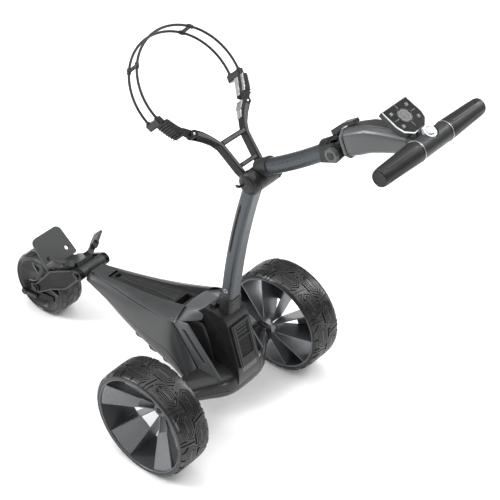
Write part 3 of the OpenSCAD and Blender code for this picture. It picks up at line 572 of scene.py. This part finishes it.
# dark wall between each strut and the tower, under the saddle
for sx, tag in SIDES:
    wall_rows = []
    for top, foot in (((83.5, -74, 293.5), (77, -34, 178)), ((72, -58, 295), (66, -18, 174)),
                      ((55, -38, 297.5), (52, 2, 172)), ((41, -18, 299), (40, 20, 170))):
        wall_rows.append([(sx * (top[0] + (foot[0] - top[0]) * t - 3 * math.sin(math.pi * t)),
                           top[1] + (foot[1] - top[1]) * t,
                           top[2] + (foot[2] - top[2]) * t) for t in (0, 0.25, 0.5, 0.75, 1)])
    open_skin("recess_wall_" + tag, wall_rows, PLACE, "shell_black", 2.0)

# ---- axle fairing: one smooth shell that narrows to the hubs ------------------------------

# x, centre y and z, half length, half height, squareness
FAIRING = [(0, 27, 152, 65, 38, 3.4), (40, 27, 152, 64.5, 37.5, 3.3), (66, 25, 152, 62, 36, 3.0),
           (88, 20, 150.5, 52, 32.5, 2.7), (112, 12, 149, 41.5, 29.5, 2.4),
           (138, 4, 147, 32, 27.5, 2.1), (161, 0, 145, 27, 27, 2.0)]


def fairing_ring(x, y, z, a, b, power):
    ring = []
    for i in range(48):
        t = 2 * math.pi * i / 48
        c, n = math.cos(t), math.sin(t)
        ring.append((x, y + a * math.copysign(abs(c) ** (2 / power), c),
                     z + b * math.copysign(abs(n) ** (2 / power), n)))
    return ring


rings = [fairing_ring(-st[0], *st[1:]) for st in FAIRING[:0:-1]] + \
        [fairing_ring(*st) for st in FAIRING]
fairing = piece("fairing_shell", *loft(rings), PLACE, "shell_black", "chassis", bevel=0,
                replaces=("axle_fairing",))
subdivide(fairing)
for sx, tag in SIDES:
    rows = []
    for st in FAIRING[2:]:
        x, y, z = sx * st[0], st[1] + st[3] * 0.985, st[2] - 6
        rows.append([(x, y + 0.6, z + 1.0), (x, y + 0.9, z), (x, y + 0.2, z - 1.0),
                     (x, y - 2.0, z)])
    piece("fairing_seam_" + tag, *loft(rows), PLACE, "panel_grey", "chassis",
          slot="shell_graphite", bevel=0.2)
for sx, tag in SIDES:
    collar = [(24, 155), (28.6, 156), (29.4, 161), (28.6, 165.5), (24, 165.5)]
    piece("hub_collar_" + tag, *lathe(collar, 64),
          sided(sx, PLACE @ along_x(REAR_AXIS)), "black_plastic", "chassis", bevel=0.5)

# ---- battery: raised spine, seams and grips ---------------------------------------------

spine = []
for y, half, z in ((-100, 5, 0.8), (-60, 7, 2.4), (20, 10, 3.6), (88, 12.5, 3.0), (100, 12, 0.6)):
    spine.append([(-half, y, -0.5), (-half + 1.5, y, z * 0.8), (-half * 0.4, y, z),
                  (half * 0.4, y, z), (half - 1.5, y, z * 0.8), (half, y, -0.5)])
piece("battery_spine", *loft(spine), DECK, "battery_case", "battery_pack", bevel=0.8)
RIB_LONG = 52
for sx in (-1, 1):
    for k in range(3):
        y0 = -84 + 62 * k
        w0 = 15 + battery_flare(y0) - 4.5
        w1 = 15 + battery_flare(y0 + RIB_LONG) - 4.5
        rib = [(sx * w0, y0), (sx * (w0 - 1.6), y0), (sx * (w1 - 1.6), y0 + RIB_LONG),
               (sx * w1, y0 + RIB_LONG)]
        piece(f"battery_rib_{'l' if sx > 0 else 'r'}{k}", *extrude(rib, -0.5, 1.0), DECK,
              "black_plastic", "battery_pack", bevel=0.4)
for k in range(5):
    low = 110 + 4.4 * k
    piece(f"battery_grip_{k}", *rectangle(-19, low, 19, 111.8 + 4.4 * k, -22.4, -20.6), DECK,
          "black_plastic", "battery_pack", bevel=0.4)

# ---- mid hinge: domed cap, ribbed knob ---------------------------------------------------

AT_HINGE = PLACE @ along_x(MID_HINGE)
dome = [(0.05, 30), (HINGE_R + 0.4, 30), (HINGE_R + 0.4, 39.5), (25.6, 43.5), (21, 46.8),
        (13, 48.6), (0.05, 49.2)]
piece("hinge_dome", *lathe(dome, 72), AT_HINGE, "black_plastic", "mast", bevel=0.5)
piece("hinge_ring", *lathe([(27.5, 27.5), (28.3, 28), (28.3, 29.6), (27.5, 30)], 72), AT_HINGE,
      "shell_graphite", "mast", bevel=0.2)
knob_rings = []
RIBS = 26
for z, r, deep in ((-30.2, 24, 0), (-31.5, 26, 0.8), (-36, 26.8, 1.5), (-43, 26.2, 1.5),
                   (-47, 24.2, 1.0), (-48.4, 21.0, 0)):
    ring = []
    for i in range(RIBS * 4):
        a = 2 * math.pi * i / (RIBS * 4)
        rr = r - deep * (1 if i % 4 in (2, 3) else 0)
        ring.append((rr * math.cos(a), rr * math.sin(a), z))
    knob_rings.append(ring)
piece("hinge_knob_ribbed", *loft(knob_rings), AT_HINGE, "grip_rubber", "hinge_knob", bevel=0.35,
      replaces=("hinge_knob",))

# ---- strap: two smooth braided cords with their sleeves ------------------------------------

STRAP_R = 137.0
STRAP_MID = 254.0
STRAP_LOW = -16.0
CORD_R = 3.1
CORD_STEPS = 120
CORDS = (("low", 27), ("high", 63))
CORDS_MID = 45
BAG_MID = bag(MID_HINGE)
UP = Vector((0, 0, 1))


def on_strap(angle):
    """Point of the strap's arc, in the plane of the bag bracket."""
    a = math.radians(angle)
    return STRAP_R * math.cos(a), STRAP_MID + STRAP_R * math.sin(a)


for tag, zc in CORDS:
    rings = []
    for i in range(CORD_STEPS + 1):
        angle = STRAP_LOW + i * (180 - 2 * STRAP_LOW) / CORD_STEPS
        out = Vector((math.cos(math.radians(angle)), math.sin(math.radians(angle)), 0))
        centre = Vector((*on_strap(angle), zc))
        rings.append([tuple(centre + CORD_R * (math.cos(b) * out + math.sin(b) * UP))
                      for b in (2 * math.pi * k / 12 for k in range(12))])
    piece("strap_cord_" + tag, *loft(rings), BAG_MID, "elastic_cord", "mast", bevel=0,
          replaces=("strap_cords",))
for k, angle in enumerate((127, 42)):
    at = BAG_MID @ tr(*on_strap(angle), CORDS_MID) @ rot("Z", angle)
    web = [(-1.8, -4.6), (1.8, -4.6), (2.4, 0), (1.8, 4.6), (-1.8, 4.6), (-2.4, 0)]
    sleeve = lathe([(2.9, -7.5), (4.0, -7.5), (4.9, -5.5), (4.9, 5.5), (4.0, 7.5), (2.9, 7.5)], 28)
    ends = [tr(0, 0, zc - CORDS_MID) @ rot("X", 90) for _, zc in CORDS]
    spacer = merge(extrude(web, -16.5, 16.5), *[moved(sleeve, end) for end in ends])
    piece(f"strap_spacer_{k}", *spacer, at, "black_plastic", "mast", bevel=0.4,
          replaces=("strap_spacers",))
    for tag, end in zip("ab", ends):
        band = lathe([(4.8, -1.2), (5.4, -1.0), (5.4, 1.0), (4.8, 1.2)], 28)
        piece(f"strap_band_{k}_{tag}", *band, at @ end, "shell_graphite", "mast", bevel=0.2)

# ---- handle: rings, panels, grips, display ----------------------------------------------

AT_BAR = PLACE @ along_x(BAR_AXIS)
for sx, tag in SIDES:
    turn = sided(sx, AT_BAR)
    ring = lathe([(22.2, 45.6), (23.3, 45.8), (23.3, 47.9), (22.2, 48.2)], 64)
    piece("silver_ring_" + tag, *ring, turn, "silver_trim", "handle", bevel=0.25)
    # grip body: flattened oval that narrows outward, with a dark end cap
    grip = [oval(r, x, squash) for x, r, squash in (
        (48.3, 22.4, 1.0), (52, 22.6, 1.0), (70, 22.2, 0.99), (100, 21.2, 0.98),
        (130, 20.2, 0.97), (156, 19.6, 0.96), (162, 19.3, 0.96), (163, 18.6, 0.96))]
    piece("grip_" + tag, *loft(grip), turn, "grip_rubber", "handle", bevel=0.5,
          replaces=("hand_grips",))
    cap = [oval(r, x, 0.96) for x, r in ((162.8, 18.4), (164.5, 18.8), (167.2, 18.0), (168, 15.5),
                                         (166.6, 14.2), (166.2, 6.0))]
    piece("grip_cap_" + tag, *loft(cap), turn, "black_plastic", "handle", bevel=0.3)
    # raised panels on the grip: angle of the middle of each
    for p, mid in enumerate((165, 245, 75)):
        rows = []
        for x, half in ((58, 10), (62, 17), (90, 18), (125, 17), (150, 15), (155, 9)):
            r = 22.9 - (x - 48) * 0.031
            row = []
            for t in (-1, -0.6, 0, 0.6, 1):
                a = math.radians(mid + half * t)
                lift = 0.55 if abs(t) < 1 else -0.3
                row.append(((r + lift) * math.cos(a), (r + lift) * 0.975 * math.sin(a), x))
            rows.append(row)
        panel = piece(f"grip_panel_{tag}_{p}", flatten(rows), sheet_faces(len(rows), len(rows[0])),
                      turn, "grip_rubber", "handle", bevel=0)
        thicken(panel, 0.9)
        soften(panel, 0.3, 35)

# console rim in silver, set just outside the glass
CONSOLE_HALF = [(40, -34), (41, 10), (36, 27), (23, 37), (18.5, 40)]


def shield(grow):
    """Outline of the console, moved outward at its sides, front and rear."""
    pts = []
    for x, y in CONSOLE_HALF:
        rear = grow if y < -30 else 0
        pts.append((x + grow * (1 if x > 20 else 0.4), y + (grow if y > 20 else 0) - rear))
    return [(-x, y) for x, y in pts] + pts[::-1]


outer, inner = shield(0.4), shield(-2.2)
n = len(outer)
verts = [(x, y, z) for z in (0.6, 2.9) for line in (outer, inner) for x, y in line]
faces = bar_faces(n, n - 1)
faces += [(i, n + i, 3 * n + i, 2 * n + i) for i in (0, n - 1)]
# the straight rear side closes the rim
faces += [(0, n - 1, 2 * n - 1, n), (2 * n, 3 * n - 1, 4 * n - 1, 3 * n),
          (0, n - 1, 3 * n - 1, 2 * n), (n, 2 * n - 1, 4 * n - 1, 3 * n)]
piece("console_rim", verts, faces, CONSOLE, "silver_trim", "handle", bevel=0.5)

# generic marks printed on the glass
SCREEN = CONSOLE @ tr(0, -2, 0)
PRINT = (1.6, 1.95)


def icon(name, *meshes):
    piece("icon_" + name, *merge(*meshes), SCREEN, "print_white", "handle", slot="silver_trim",
          bevel=0)


def stroke(x0, y0, x1, y1):
    return rectangle(x0, y0, x1, y1, *PRINT)


icon("ring", flat_ring(11.4, 12.6, *PRINT), flat_ring(7.6, 8.3, *PRINT))
icon("digit", stroke(-2.6, 4.4, 2.6, 5.6), stroke(-2.6, -5.6, 2.6, -4.4),
     stroke(-3.8, -4.6, -2.6, 4.6), stroke(2.6, -4.6, 3.8, 4.6))
icon("marks", *[moved(stroke(14.2, -0.45, 16.4, 0.45), rot("Z", i * 15))
                for i in range(24) if i % 6])
keys = []
for cx, cy in ((-25, 17), (25, 17), (-25, -17), (25, -17)):
    keys += [stroke(cx - 4.4, cy + 2.0, cx + 4.4, cy + 2.7),
             stroke(cx - 4.4, cy - 0.4, cx + 1.4, cy + 0.4),
             stroke(cx - 4.4, cy - 2.7, cx + 3.2, cy - 2.0)]
icon("keys", *keys)
icon("seams", stroke(-32, -0.2, -18.5, 0.2), stroke(18.5, -0.2, 32, 0.2),
     stroke(-0.2, 18.5, 0.2, 30), stroke(-0.2, -30, 0.2, -18.5))

# dial: stepped cap with fine turned rings
for k, (r, z) in enumerate(((14.4, 10.5), (12.4, 10.6), (11.0, 10.7))):
    piece(f"dial_ring_{k}", *flat_ring(r - 0.35, r + 0.35, z - 0.6, z, 64), DIAL, "silver_trim",
          "dial", bevel=0.15)
for k, r in enumerate((7.4, 4.8, 2.2)):
    piece(f"button_ring_{k}", *flat_ring(r - 0.4, r + 0.4, 11.4, 12.3), DIAL, "silver_trim",
          "button_dial", bevel=0.2)
TEETH = 48
tooth = extrude([(15.3, -0.35), (16.0, -0.2), (16.0, 0.2), (15.3, 0.35)], 1.0, 5.0)
knurl = [moved(tooth, rot("Z", i * 360 / TEETH)) for i in range(TEETH)]
piece("dial_knurl", *merge(*knurl), DIAL, "silver_trim", "dial", bevel=0)

# ring where the neck meets the clamp, in paler grey: a painted highlight
NECK = PLACE @ tr(0, 366, 965) @ rot("X", 24 - 90)


def octagon(w, h, c):
    """Outline with half width w, half height h and corners cut by c."""
    return [(-w, -h + c), (-w + c, -h), (w - c, -h), (w, -h + c), (w, h - c), (w - c, h),
            (-w + c, h), (-w, h - c)]


rings = []
for z, g in ((1, 0), (1, 2.2), (8, 2.6), (9, 0.4)):
    rings.append([(x, y, z) for x, y in octagon(30 + g, 29 + g, 12)])
piece("neck_ring", *loft(rings), NECK, "panel_grey", "handle", slot="shell_graphite", bevel=1.0)

# ---- clamp: caps of the tilt axis and its knob --------------------------------------------

AT_TILT = PLACE @ along_x(TILT_AXIS)
cap = [(0.05, -27.5), (11, -27.5), (12.5, -26), (12.5, -25.8), (0.05, -25.8)]
piece("tilt_cap", *lathe(cap, 48), AT_TILT, "shell_graphite", "shaft", bevel=0.3)
cap = [(0.05, 36.2), (8.4, 36.2), (8.4, 37.4), (6.5, 39.0), (0.05, 39.4)]
piece("knob_cap", *lathe(cap, 48), AT_TILT, "shell_graphite", "handle_knob", bevel=0.3)

# ---- lower bag arms: broad pads on hinge blocks ---------------------------------------------

BAG_LOW = bag((0, -494, 226))
for sx, tag in SIDES:
    turn = sided(sx, BAG_LOW)
    body = "lower_arm_" + tag[0]
    pad = [(57.5, 12), (62, 10), (88, 27), (89.5, 31.5), (86, 34.5), (58.5, 19)]
    piece("lower_pad_" + tag, *extrude(pad, -30, 9), turn, "shell_graphite", body, bevel=1.4)
    block_line = [(44, 5), (52, -1), (66, 7), (68, 16), (58, 22), (46, 16)]
    piece("lower_block_" + tag, *extrude(block_line, -24, -4.2), turn, "black_plastic", body,
          bevel=1.2)
    for k in range(3):
        rib = [(u + 8 * k, v + 5.2 * k) for u, v in ((62, 9.2), (64, 10.5), (63.4, 11.6),
                                                     (61.4, 10.3))]
        piece(f"lower_rib_{tag}_{k}", *extrude(rib, -27, 6), turn, "black_plastic", body,
              bevel=0.3)
    bolt = lathe([(0.05, -4.6), (4.6, -4.6), (4.6, -2.6), (3.6, -1.8), (0.05, -1.8)], 32)
    piece("lower_bolt_" + tag, *bolt, turn @ tr(56, 10, 0), "steel", body, bevel=0.2)

# ---- fork blades: raised rim round a sunk face, bosses at both axes --------------------------

# y and z of the blade's outline, and a point inside it
BLADE = [(-464, 219), (-449, 207), (-500, 150), (-560, 118), (-613, 80), (-636, 84), (-640, 100),
         (-618, 112), (-585, 150), (-556, 184), (-500, 214), (-455, 238)]
INSIDE = Vector((sum(y for y, _ in BLADE) / len(BLADE), 152))
RIM_WIDE = 4.2
rim_out = [Vector(p) for p in BLADE]
rim_in = []
for k, p in enumerate(rim_out):
    along = (rim_out[(k + 1) % len(BLADE)] - rim_out[k - 1]).normalized()
    normal = Vector((along.y, -along.x))
    if (INSIDE - p).dot(normal) < 0:
        normal = -normal
    rim_in.append(p + normal * RIM_WIDE)
for sx, tag in SIDES:
    verts = [(sx * x, p.x, p.y) for x in (49.5, 51.6) for line in (rim_out, rim_in) for p in line]
    piece("fork_rim_" + tag[0], verts, bar_faces(len(BLADE), len(BLADE)), PLACE, "shell_graphite",
          "front_section", slot="black_plastic", bevel=0.5)
    for k, (axis, r) in enumerate(((FOLD_AXIS, 15), (FRONT_AXIS, 14))):
        boss = lathe([(r - 4, 51), (r, 51), (r - 0.6, 53.4), (r - 3, 53.8), (r - 4, 53)], 48)
        piece(f"fork_boss_{tag[0]}_{k}", *boss, sided(sx, PLACE @ along_x(axis)),
              "shell_graphite", "front_section", slot="black_plastic", bevel=0.3)

# ---- front wheel --------------------------------------------------------------------------

AT_FRONT = PLACE @ along_x(FRONT_AXIS)
DISC_STEPS = 80
DIMPLE_STEPS = 16
DIMPLE_DEEP = 5.5
disc = []
for r, z in ((80.5, 37.0), (78.5, 37.4), (74, 33.5), (60, 24), (40, 18), (22, 27), (17, 30.5)):
    ring = []
    for i in range(DISC_STEPS):
        a = 2 * math.pi * i / DISC_STEPS
        cell = (i % DIMPLE_STEPS) / DIMPLE_STEPS
        dip = DIMPLE_DEEP * math.sin(math.pi * min(cell * 2, 1.0)) \
            * math.sin(math.pi * (80.5 - r) / 64)
        ring.append((r * math.cos(a), r * math.sin(a), z - max(dip, 0) if cell < 0.5 else z))
    disc.append(ring)
for sx, tag in SIDES:
    turn = sided(sx, AT_FRONT)
    obj = piece("front_disc_" + tag, flatten(disc),
                ring_faces(len(disc), DISC_STEPS, closed_ends=False), turn, "shell_graphite",
                "front_wheel", slot="wheel_paint", bevel=0)
    thicken(obj, 2.0, -sx)
    hub = lathe([(5.3, 28), (17.5, 28), (17.5, 31.5), (15, 33.5), (5.3, 33.5)], 48)
    piece("front_hub_" + tag, *hub, turn, "black_plastic", "front_wheel", bevel=0.5)
tyre = [(81.5, -37), (81.5, 37), (83, 38.8), (86.5, 38.6), (90, 34), (91.2, 28), (91.8, 20),
        (91.8, -20), (91.2, -28), (90, -34), (86.5, -38.6), (83, -38.8)]
piece("front_tyre_body", *lathe(tyre, 120), AT_FRONT, "tyre_rubber", "front_wheel", bevel=0.5,
      replaces=("front_tyre",))
LUGS = 20
LUG_PITCH = 18
LUG_LONG = 14.5


def lug(u0, w0, w1, tilt):
    """Slanted tread block between two places across the tyre, from angle u0."""
    corners = [(u0 + tilt, w0), (u0 + LUG_LONG + tilt, w0), (u0 + LUG_LONG - tilt, w1),
               (u0 - tilt, w1)]
    grid = []
    for level in (90.2, 93.0):
        line = []
        for s in range(4):
            (ua, wa), (ub, wb) = corners[s], corners[(s + 1) % 4]
            for t in (0, 0.5):
                u, w = ua + (ub - ua) * t, wa + (wb - wa) * t
                r = level - (1.8 if abs(w) > 30 else 0)
                a = math.radians(u)
                line.append((r * math.cos(a), r * math.sin(a), w))
        grid.append(line)
    return loft(grid)


lugs = []
for i in range(LUGS):
    for w0, w1, tilt, shift in ((-34, -21, 3, 0), (-18, -2, -3, 9), (2, 18, 3, 0), (21, 34, -3, 9)):
        lugs.append(lug(i * LUG_PITCH + shift, w0, w1, tilt))
piece("front_tread", *merge(*lugs), AT_FRONT, "tyre_rubber", "front_wheel", bevel=0.4)

# ---- rear of the chassis: ledge, black sheet painted as a hollow's shade, rails and vent ---

def across(name, outline, half, mat, slot, bevel):
    """Chassis bar with a [y, z] outline, the same on both sides of the middle."""
    v, f = extrude(outline, -half, half)
    piece(name, [(z, x, y) for x, y, z in v], f, PLACE, mat, "chassis", slot=slot, bevel=bevel)


across("rear_ledge", [(60, 147), (90, 147), (93.4, 158), (94.2, 184), (92.6, 205), (82, 206),
                      (60, 190)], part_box("mast_tower")[1][0] / MM + 0.5, "shell_black", None, 2.0)
across("ledge_plate", [(84, 187), (95.0, 186), (94.6, 194), (91.5, 205.5), (84, 206)], 26,
       "panel_grey", "shell_graphite", 1.2)
REAR_FACE = PLACE @ tr(0, 92.2, 204) @ rot("X", math.degrees(math.atan2(35, 120))) @ \
    rot("X", 90) @ rot("Y", 180)
# flat black sheet in the darkest finish: painted shade of the hollow at the bottom of the tower
piece("rear_hollow_shade", *rectangle(-19.6, 24.4, 19.6, 71.6, 2.6, 3.9), REAR_FACE, "display_glass",
      "chassis", slot="black_plastic", bevel=0.4)
for sx in (-1, 1):
    piece(f"rear_rail_{'l' if sx > 0 else 'r'}",
          *rectangle(sx * 23.5, 3, sx * 26.5, 113, 5.6, 7.6), REAR_FACE, "shell_graphite",
          "chassis", bevel=0.8)
for k in range(3):
    piece(f"vent_lip_{k}", *rectangle(-16, 84.4 + 9 * k, 16, 85.6 + 9 * k, 2.8, 5.2), REAR_FACE,
          "panel_grey", "chassis", slot="shell_graphite", bevel=0.3)

# ---- neck: rounded skin in paler grey, a painted highlight, with a raised top panel -------

CORNER_SHARE = 0.32


def neck_place(y, z, rise):
    return tr(0, y, z) @ rot("X", rise - 90)


def neck_ring(y, z, rise, w, h):
    """Octagon with rounded corners, set square across the neck at one station."""
    corners = [Vector(p) for p in octagon(w + 1.1, h + 1.1, 11)]
    pts = []
    for i, p in enumerate(corners):
        a, b = corners[i - 1], corners[(i + 1) % 8]
        start, end = p + (a - p) * CORNER_SHARE, p + (b - p) * CORNER_SHARE
        for k in range(4):
            t = k / 3
            q = (1 - t) ** 2 * start + 2 * t * (1 - t) * p + t * t * end
            pts.append((q.x, q.y, 0))
    at = neck_place(y, z, rise)
    return [tuple(at @ Vector(p)) for p in pts]


# y, z, rise in degrees, half width and half height
NECK_LINE = [(376, 972, 24, 30, 29), (398, 985, 24, 30.6, 29.4), (426, 1001, 22, 30, 28.6),
             (456, 1011, 19, 29.2, 26.6), (486, 1020, 16.5, 28.4, 24.4),
             (520, 1030, 16, 27.4, 20.6)]
# the skin is paler grey than its graphite slot: a painted highlight on the neck
piece("neck_skin", *loft([neck_ring(*st) for st in NECK_LINE]), PLACE, "panel_grey", "handle",
      slot="shell_graphite", bevel=0.6, angle=50)
panel = []
for y, z, rise, w, h in NECK_LINE:
    row = [(-15.5, -(h + 0.8)), (-14, -(h + 2.6)), (0, -(h + 3.0)), (14, -(h + 2.6)),
           (15.5, -(h + 0.8)), (0, -(h - 1))]
    panel.append([tuple(neck_place(y, z, rise) @ Vector((x, yy, 0))) for x, yy in row])
piece("neck_panel", *loft(panel), PLACE, "shell_graphite", "handle", bevel=0.6)

# ---- mast: foot collar, inset strip and a generic ring mark ---------------------------------

MAST_LEAN = math.radians(4.9)
MAST_BEND = 1914.0
MAST_FOOT = (31.7, 343)


def mast_at(s):
    """Frame on the mast's arc, s millimetres up from its foot."""
    turned = MAST_LEAN + s / MAST_BEND
    y = MAST_FOOT[0] + MAST_BEND * (math.cos(MAST_LEAN) - math.cos(turned))
    z = MAST_FOOT[1] + MAST_BEND * (math.sin(turned) - math.sin(MAST_LEAN))
    return tr(0, y, z) @ rot("X", -math.degrees(turned))


def rounded(w, d, r):
    """Rectangle of half sides w and d with corners of radius r."""
    steps = 5
    pts = []
    for cx, cy, start in ((w - r, d - r, 0), (r - w, d - r, 90), (r - w, r - d, 180),
                          (w - r, r - d, 270)):
        for k in range(steps + 1):
            a = math.radians(start + 90 * k / steps)
            pts.append((cx + r * math.cos(a), cy + r * math.sin(a)))
    return pts


rings = []
for s, grow in ((19, 2.4), (20, 3.0), (31, 2.9), (32, 2.2), (33, 2.2), (34, 2.8), (43, 2.5),
                (44.5, 1.0), (44.5, 0.2)):
    at = mast_at(s)
    rings.append([tuple(at @ Vector((x, y, 0)))
                  for x, y in rounded(20 + grow, 17 + grow, 9 + grow)])
piece("mast_collar", *loft(rings), PLACE, "black_plastic", "mast", bevel=0.4)
strip = []
for k in range(15):
    at = mast_at(190 + 11 * k)
    half = 2.4 if 0 < k < 14 else 1.4
    strip.append([tuple(at @ Vector((x, y, 0)))
                  for x, y in ((19.4, -5 - half), (20.5, -5 - half), (20.5, -5 + half),
                               (19.4, -5 + half))])
piece("mast_strip", *loft(strip), PLACE, "display_glass", "mast", slot="black_plastic", bevel=0.3)
piece("mast_mark", *flat_ring(4.2, 5.6, 19.8, 20.25, 40),
      PLACE @ mast_at(66) @ tr(0, -1, 0) @ rot("Y", 90), "print_white", "mast",
      slot="silver_trim", bevel=0)

# ---- bag bracket: paler raised faces on a black body ----------------------------------------

# u, v and half width along one limb
LIMB = [(29.6, 30, 2.8), (32, 40, 3.4), (34.8, 60, 3.5), (37.2, 80, 3.5), (40.2, 99, 3.6),
        (43.6, 107, 3.8), (49, 116, 4.1), (60, 131, 4.7), (75, 145.5, 4.8), (82, 150.5, 4.2)]


def ribbon(stations, low, high):
    """Flat bar along [u, v, half width] stations."""
    rings = []
    for k, (u, v, half) in enumerate(stations):
        before, after = stations[max(k - 1, 0)], stations[min(k + 1, len(stations) - 1)]
        along = Vector((after[0] - before[0], after[1] - before[1])).normalized()
        side_u, side_v = -along.y * half, along.x * half
        rings.append([(u - side_u, v - side_v, low), (u + side_u, v + side_v, low),
                      (u + side_u, v + side_v, high), (u - side_u, v - side_v, high)])
    return loft(rings)


for sx, tag in SIDES:
    piece("bracket_face_" + tag, *ribbon(LIMB, 1.7, 4), sided(sx, BAG_MID), "cover_graphite",
          "mast", slot="shell_graphite", bevel=0.7)
for k, (v0, half_u, half_v) in enumerate(((43, 24, 3.2), (105, 36, 3.6))):
    piece(f"bracket_bar_{k}", *ribbon([(-half_u, v0, half_v), (0, v0, half_v * 0.9),
                                       (half_u, v0, half_v)], 1.9, 4),
          BAG_MID, "cover_graphite", "mast", slot="shell_graphite", bevel=0.7)
hook = [(40, 1), (54, 3), (60, 7), (61, 13), (58, 14), (56, 10), (52, 8), (40, 8)]
piece("bracket_hook", *extrude(hook, 12, 19), BAG_MID, "black_plastic", "mast", bevel=0.9)
for k, (r, z) in enumerate(((24.2, 44.7), (17.2, 47.9), (9.6, 49.1))):
    ring = lathe([(r - 0.7, z - 1.2), (r + 0.7, z - 1.2), (r + 0.5, z + 0.3), (r - 0.5, z + 0.3)],
                 72)
    piece(f"hinge_dome_ring_{k}", *ring, AT_HINGE, "shell_graphite", "mast", bevel=0.25)

# ---- upper bag arms: grip ribs, bright liners and the strap's buckles ------------------------

for sx, tag in SIDES:
    turn = sided(sx, BAG_MID)
    body = "upper_arm_" + tag[0]
    for k in range(7):
        t = k / 6
        x, y = 112.5 + 18 * t, 168 + 35 * t
        rib = [(x + 1.2, y - 0.6), (x + 3.4, y - 1.8), (x + 4.4, y + 0.2), (x + 2.2, y + 1.4)]
        piece(f"arm_rib_{tag}_{k}", *extrude(rib, 10, 45), turn, "black_plastic", body, bevel=0.3)
    liner = [(101, 176.5), (103.4, 175.5), (114.6, 191.5), (126.5, 214), (124, 214.6), (111.6, 193)]
    for k, (low, high) in enumerate(((9.5, 19), (20, 31), (32, 46))):
        piece(f"arm_liner_{tag}_{k}", *extrude(liner, low, high), turn,
              "black_plastic" if k == 1 else "silver_trim", body, bevel=0.6)
    for k, step in enumerate((((66, 148), (82, 162), (79.5, 164.5), (63.8, 150.4)),
                              ((53, 131), (65, 147), (62.6, 149), (50.8, 133)))):
        piece(f"bracket_liner_{tag}_{k}", *extrude(step, 8, 30 - 5 * k), turn, "silver_trim",
              "mast", bevel=0.8)
    tip = turn @ tr(*on_strap(STRAP_LOW), 0) @ rot("Z", STRAP_LOW)
    buckle = [(-7.2, -3), (7.2, -3), (8.2, 1), (7.2, 9.5), (-7.2, 9.5), (-8.2, 5)]
    piece("buckle_" + tag, *extrude(buckle, 22, 68), tip, "black_plastic", body, bevel=1.6)
    collar = lathe([(3.0, 9.0), (5.4, 9.0), (5.4, 12.5), (4.2, 14.5), (3.0, 14.5)], 32)
    for k, (_, zc) in enumerate(CORDS):
        piece(f"buckle_collar_{tag}_{k}", *collar, tip @ tr(0, 0, zc) @ rot("X", -90),
              "black_plastic", body, bevel=0.4)

# ---- floor, light and camera ------------------------------------------------------------

FLOOR_HALF = 14.0
# just under the tyres, so that the surfaces don't flicker into each other
FLOOR_DROP = 0.0005


def floor():
    mesh = bpy.data.meshes.new("floor")
    half = FLOOR_HALF
    mesh.from_pydata([(-half, -half, 0), (half, -half, 0), (half, half, 0), (-half, half, 0)],
                     [], [(0, 1, 2, 3)])
    obj = bpy.data.objects.new("floor", mesh)
    obj.location.z = -FLOOR_DROP
    bpy.context.scene.collection.objects.link(obj)
    mat = bpy.data.materials.new("studio_floor")
    mat.use_nodes = True
    tree = mat.node_tree
    shader = tree.nodes["Principled BSDF"]
    where = tree.nodes.new("ShaderNodeTexCoord").outputs["Object"]
    soft = noise(tree, where, 3.0, 2.0)
    tint = mix_colour(tree, soft, (0.89, 0.89, 0.885), (0.92, 0.92, 0.92))
    tree.links.new(tint, shader.inputs["Base Color"])
    tree.links.new(ramp(tree, soft, 0.75, 0.9), shader.inputs["Roughness"])
    shader.inputs["Specular IOR Level"].default_value = 0.1
    mesh.materials.append(mat)


def area_light(name, at, target, size, power, size_y=None):
    data = bpy.data.lights.new(name, "AREA")
    data.energy = power
    data.size = size
    if size_y:
        data.shape = "RECTANGLE"
        data.size_y = size_y
    obj = bpy.data.objects.new(name, data)
    obj.location = at
    obj.rotation_euler = (Vector(target) - Vector(at)).to_track_quat("-Z", "Y").to_euler()
    bpy.context.scene.collection.objects.link(obj)


floor()
middle = (0.0, 0.0, 0.45)
area_light("top_softbox", (0.0, 0.0, 4.2), (0.0, 0.0, 0.0), 6.0, 290)
area_light("left_key", (2.4, -2.8, 2.3), middle, 0.9, 120, 1.6)
area_light("back_strip", (-2.8, 1.2, 2.0), middle, 0.5, 75, 2.4)
area_light("front_fill", (1.2, 3.4, 1.0), middle, 0.8, 26)
world = bpy.data.worlds.new("studio")
world.use_nodes = True
sky = world.node_tree.nodes["Background"]
sky.inputs["Color"].default_value = (1, 1, 1, 1)
sky.inputs["Strength"].default_value = 0.34
bpy.context.scene.world = world
bpy.context.scene.view_settings.view_transform = "Standard"

camera = bpy.data.cameras.new("camera")
camera.sensor_width = 36
camera.lens = 107.59
camera.clip_end = 60
view = bpy.data.objects.new("camera", camera)
# solved on the photo: place in metres, heading, look down and roll in degrees
CAMERA_AT = (2.0689, 1.9295, 2.6421)
HEADING, DOWN, ROLL = 130.465, 37.579, -0.11
view.matrix_world = tr(*CAMERA_AT) @ rot("Z", HEADING) @ rot("X", 90 - DOWN) @ rot("Z", ROLL)
bpy.context.scene.collection.objects.link(view)
bpy.context.scene.camera = view
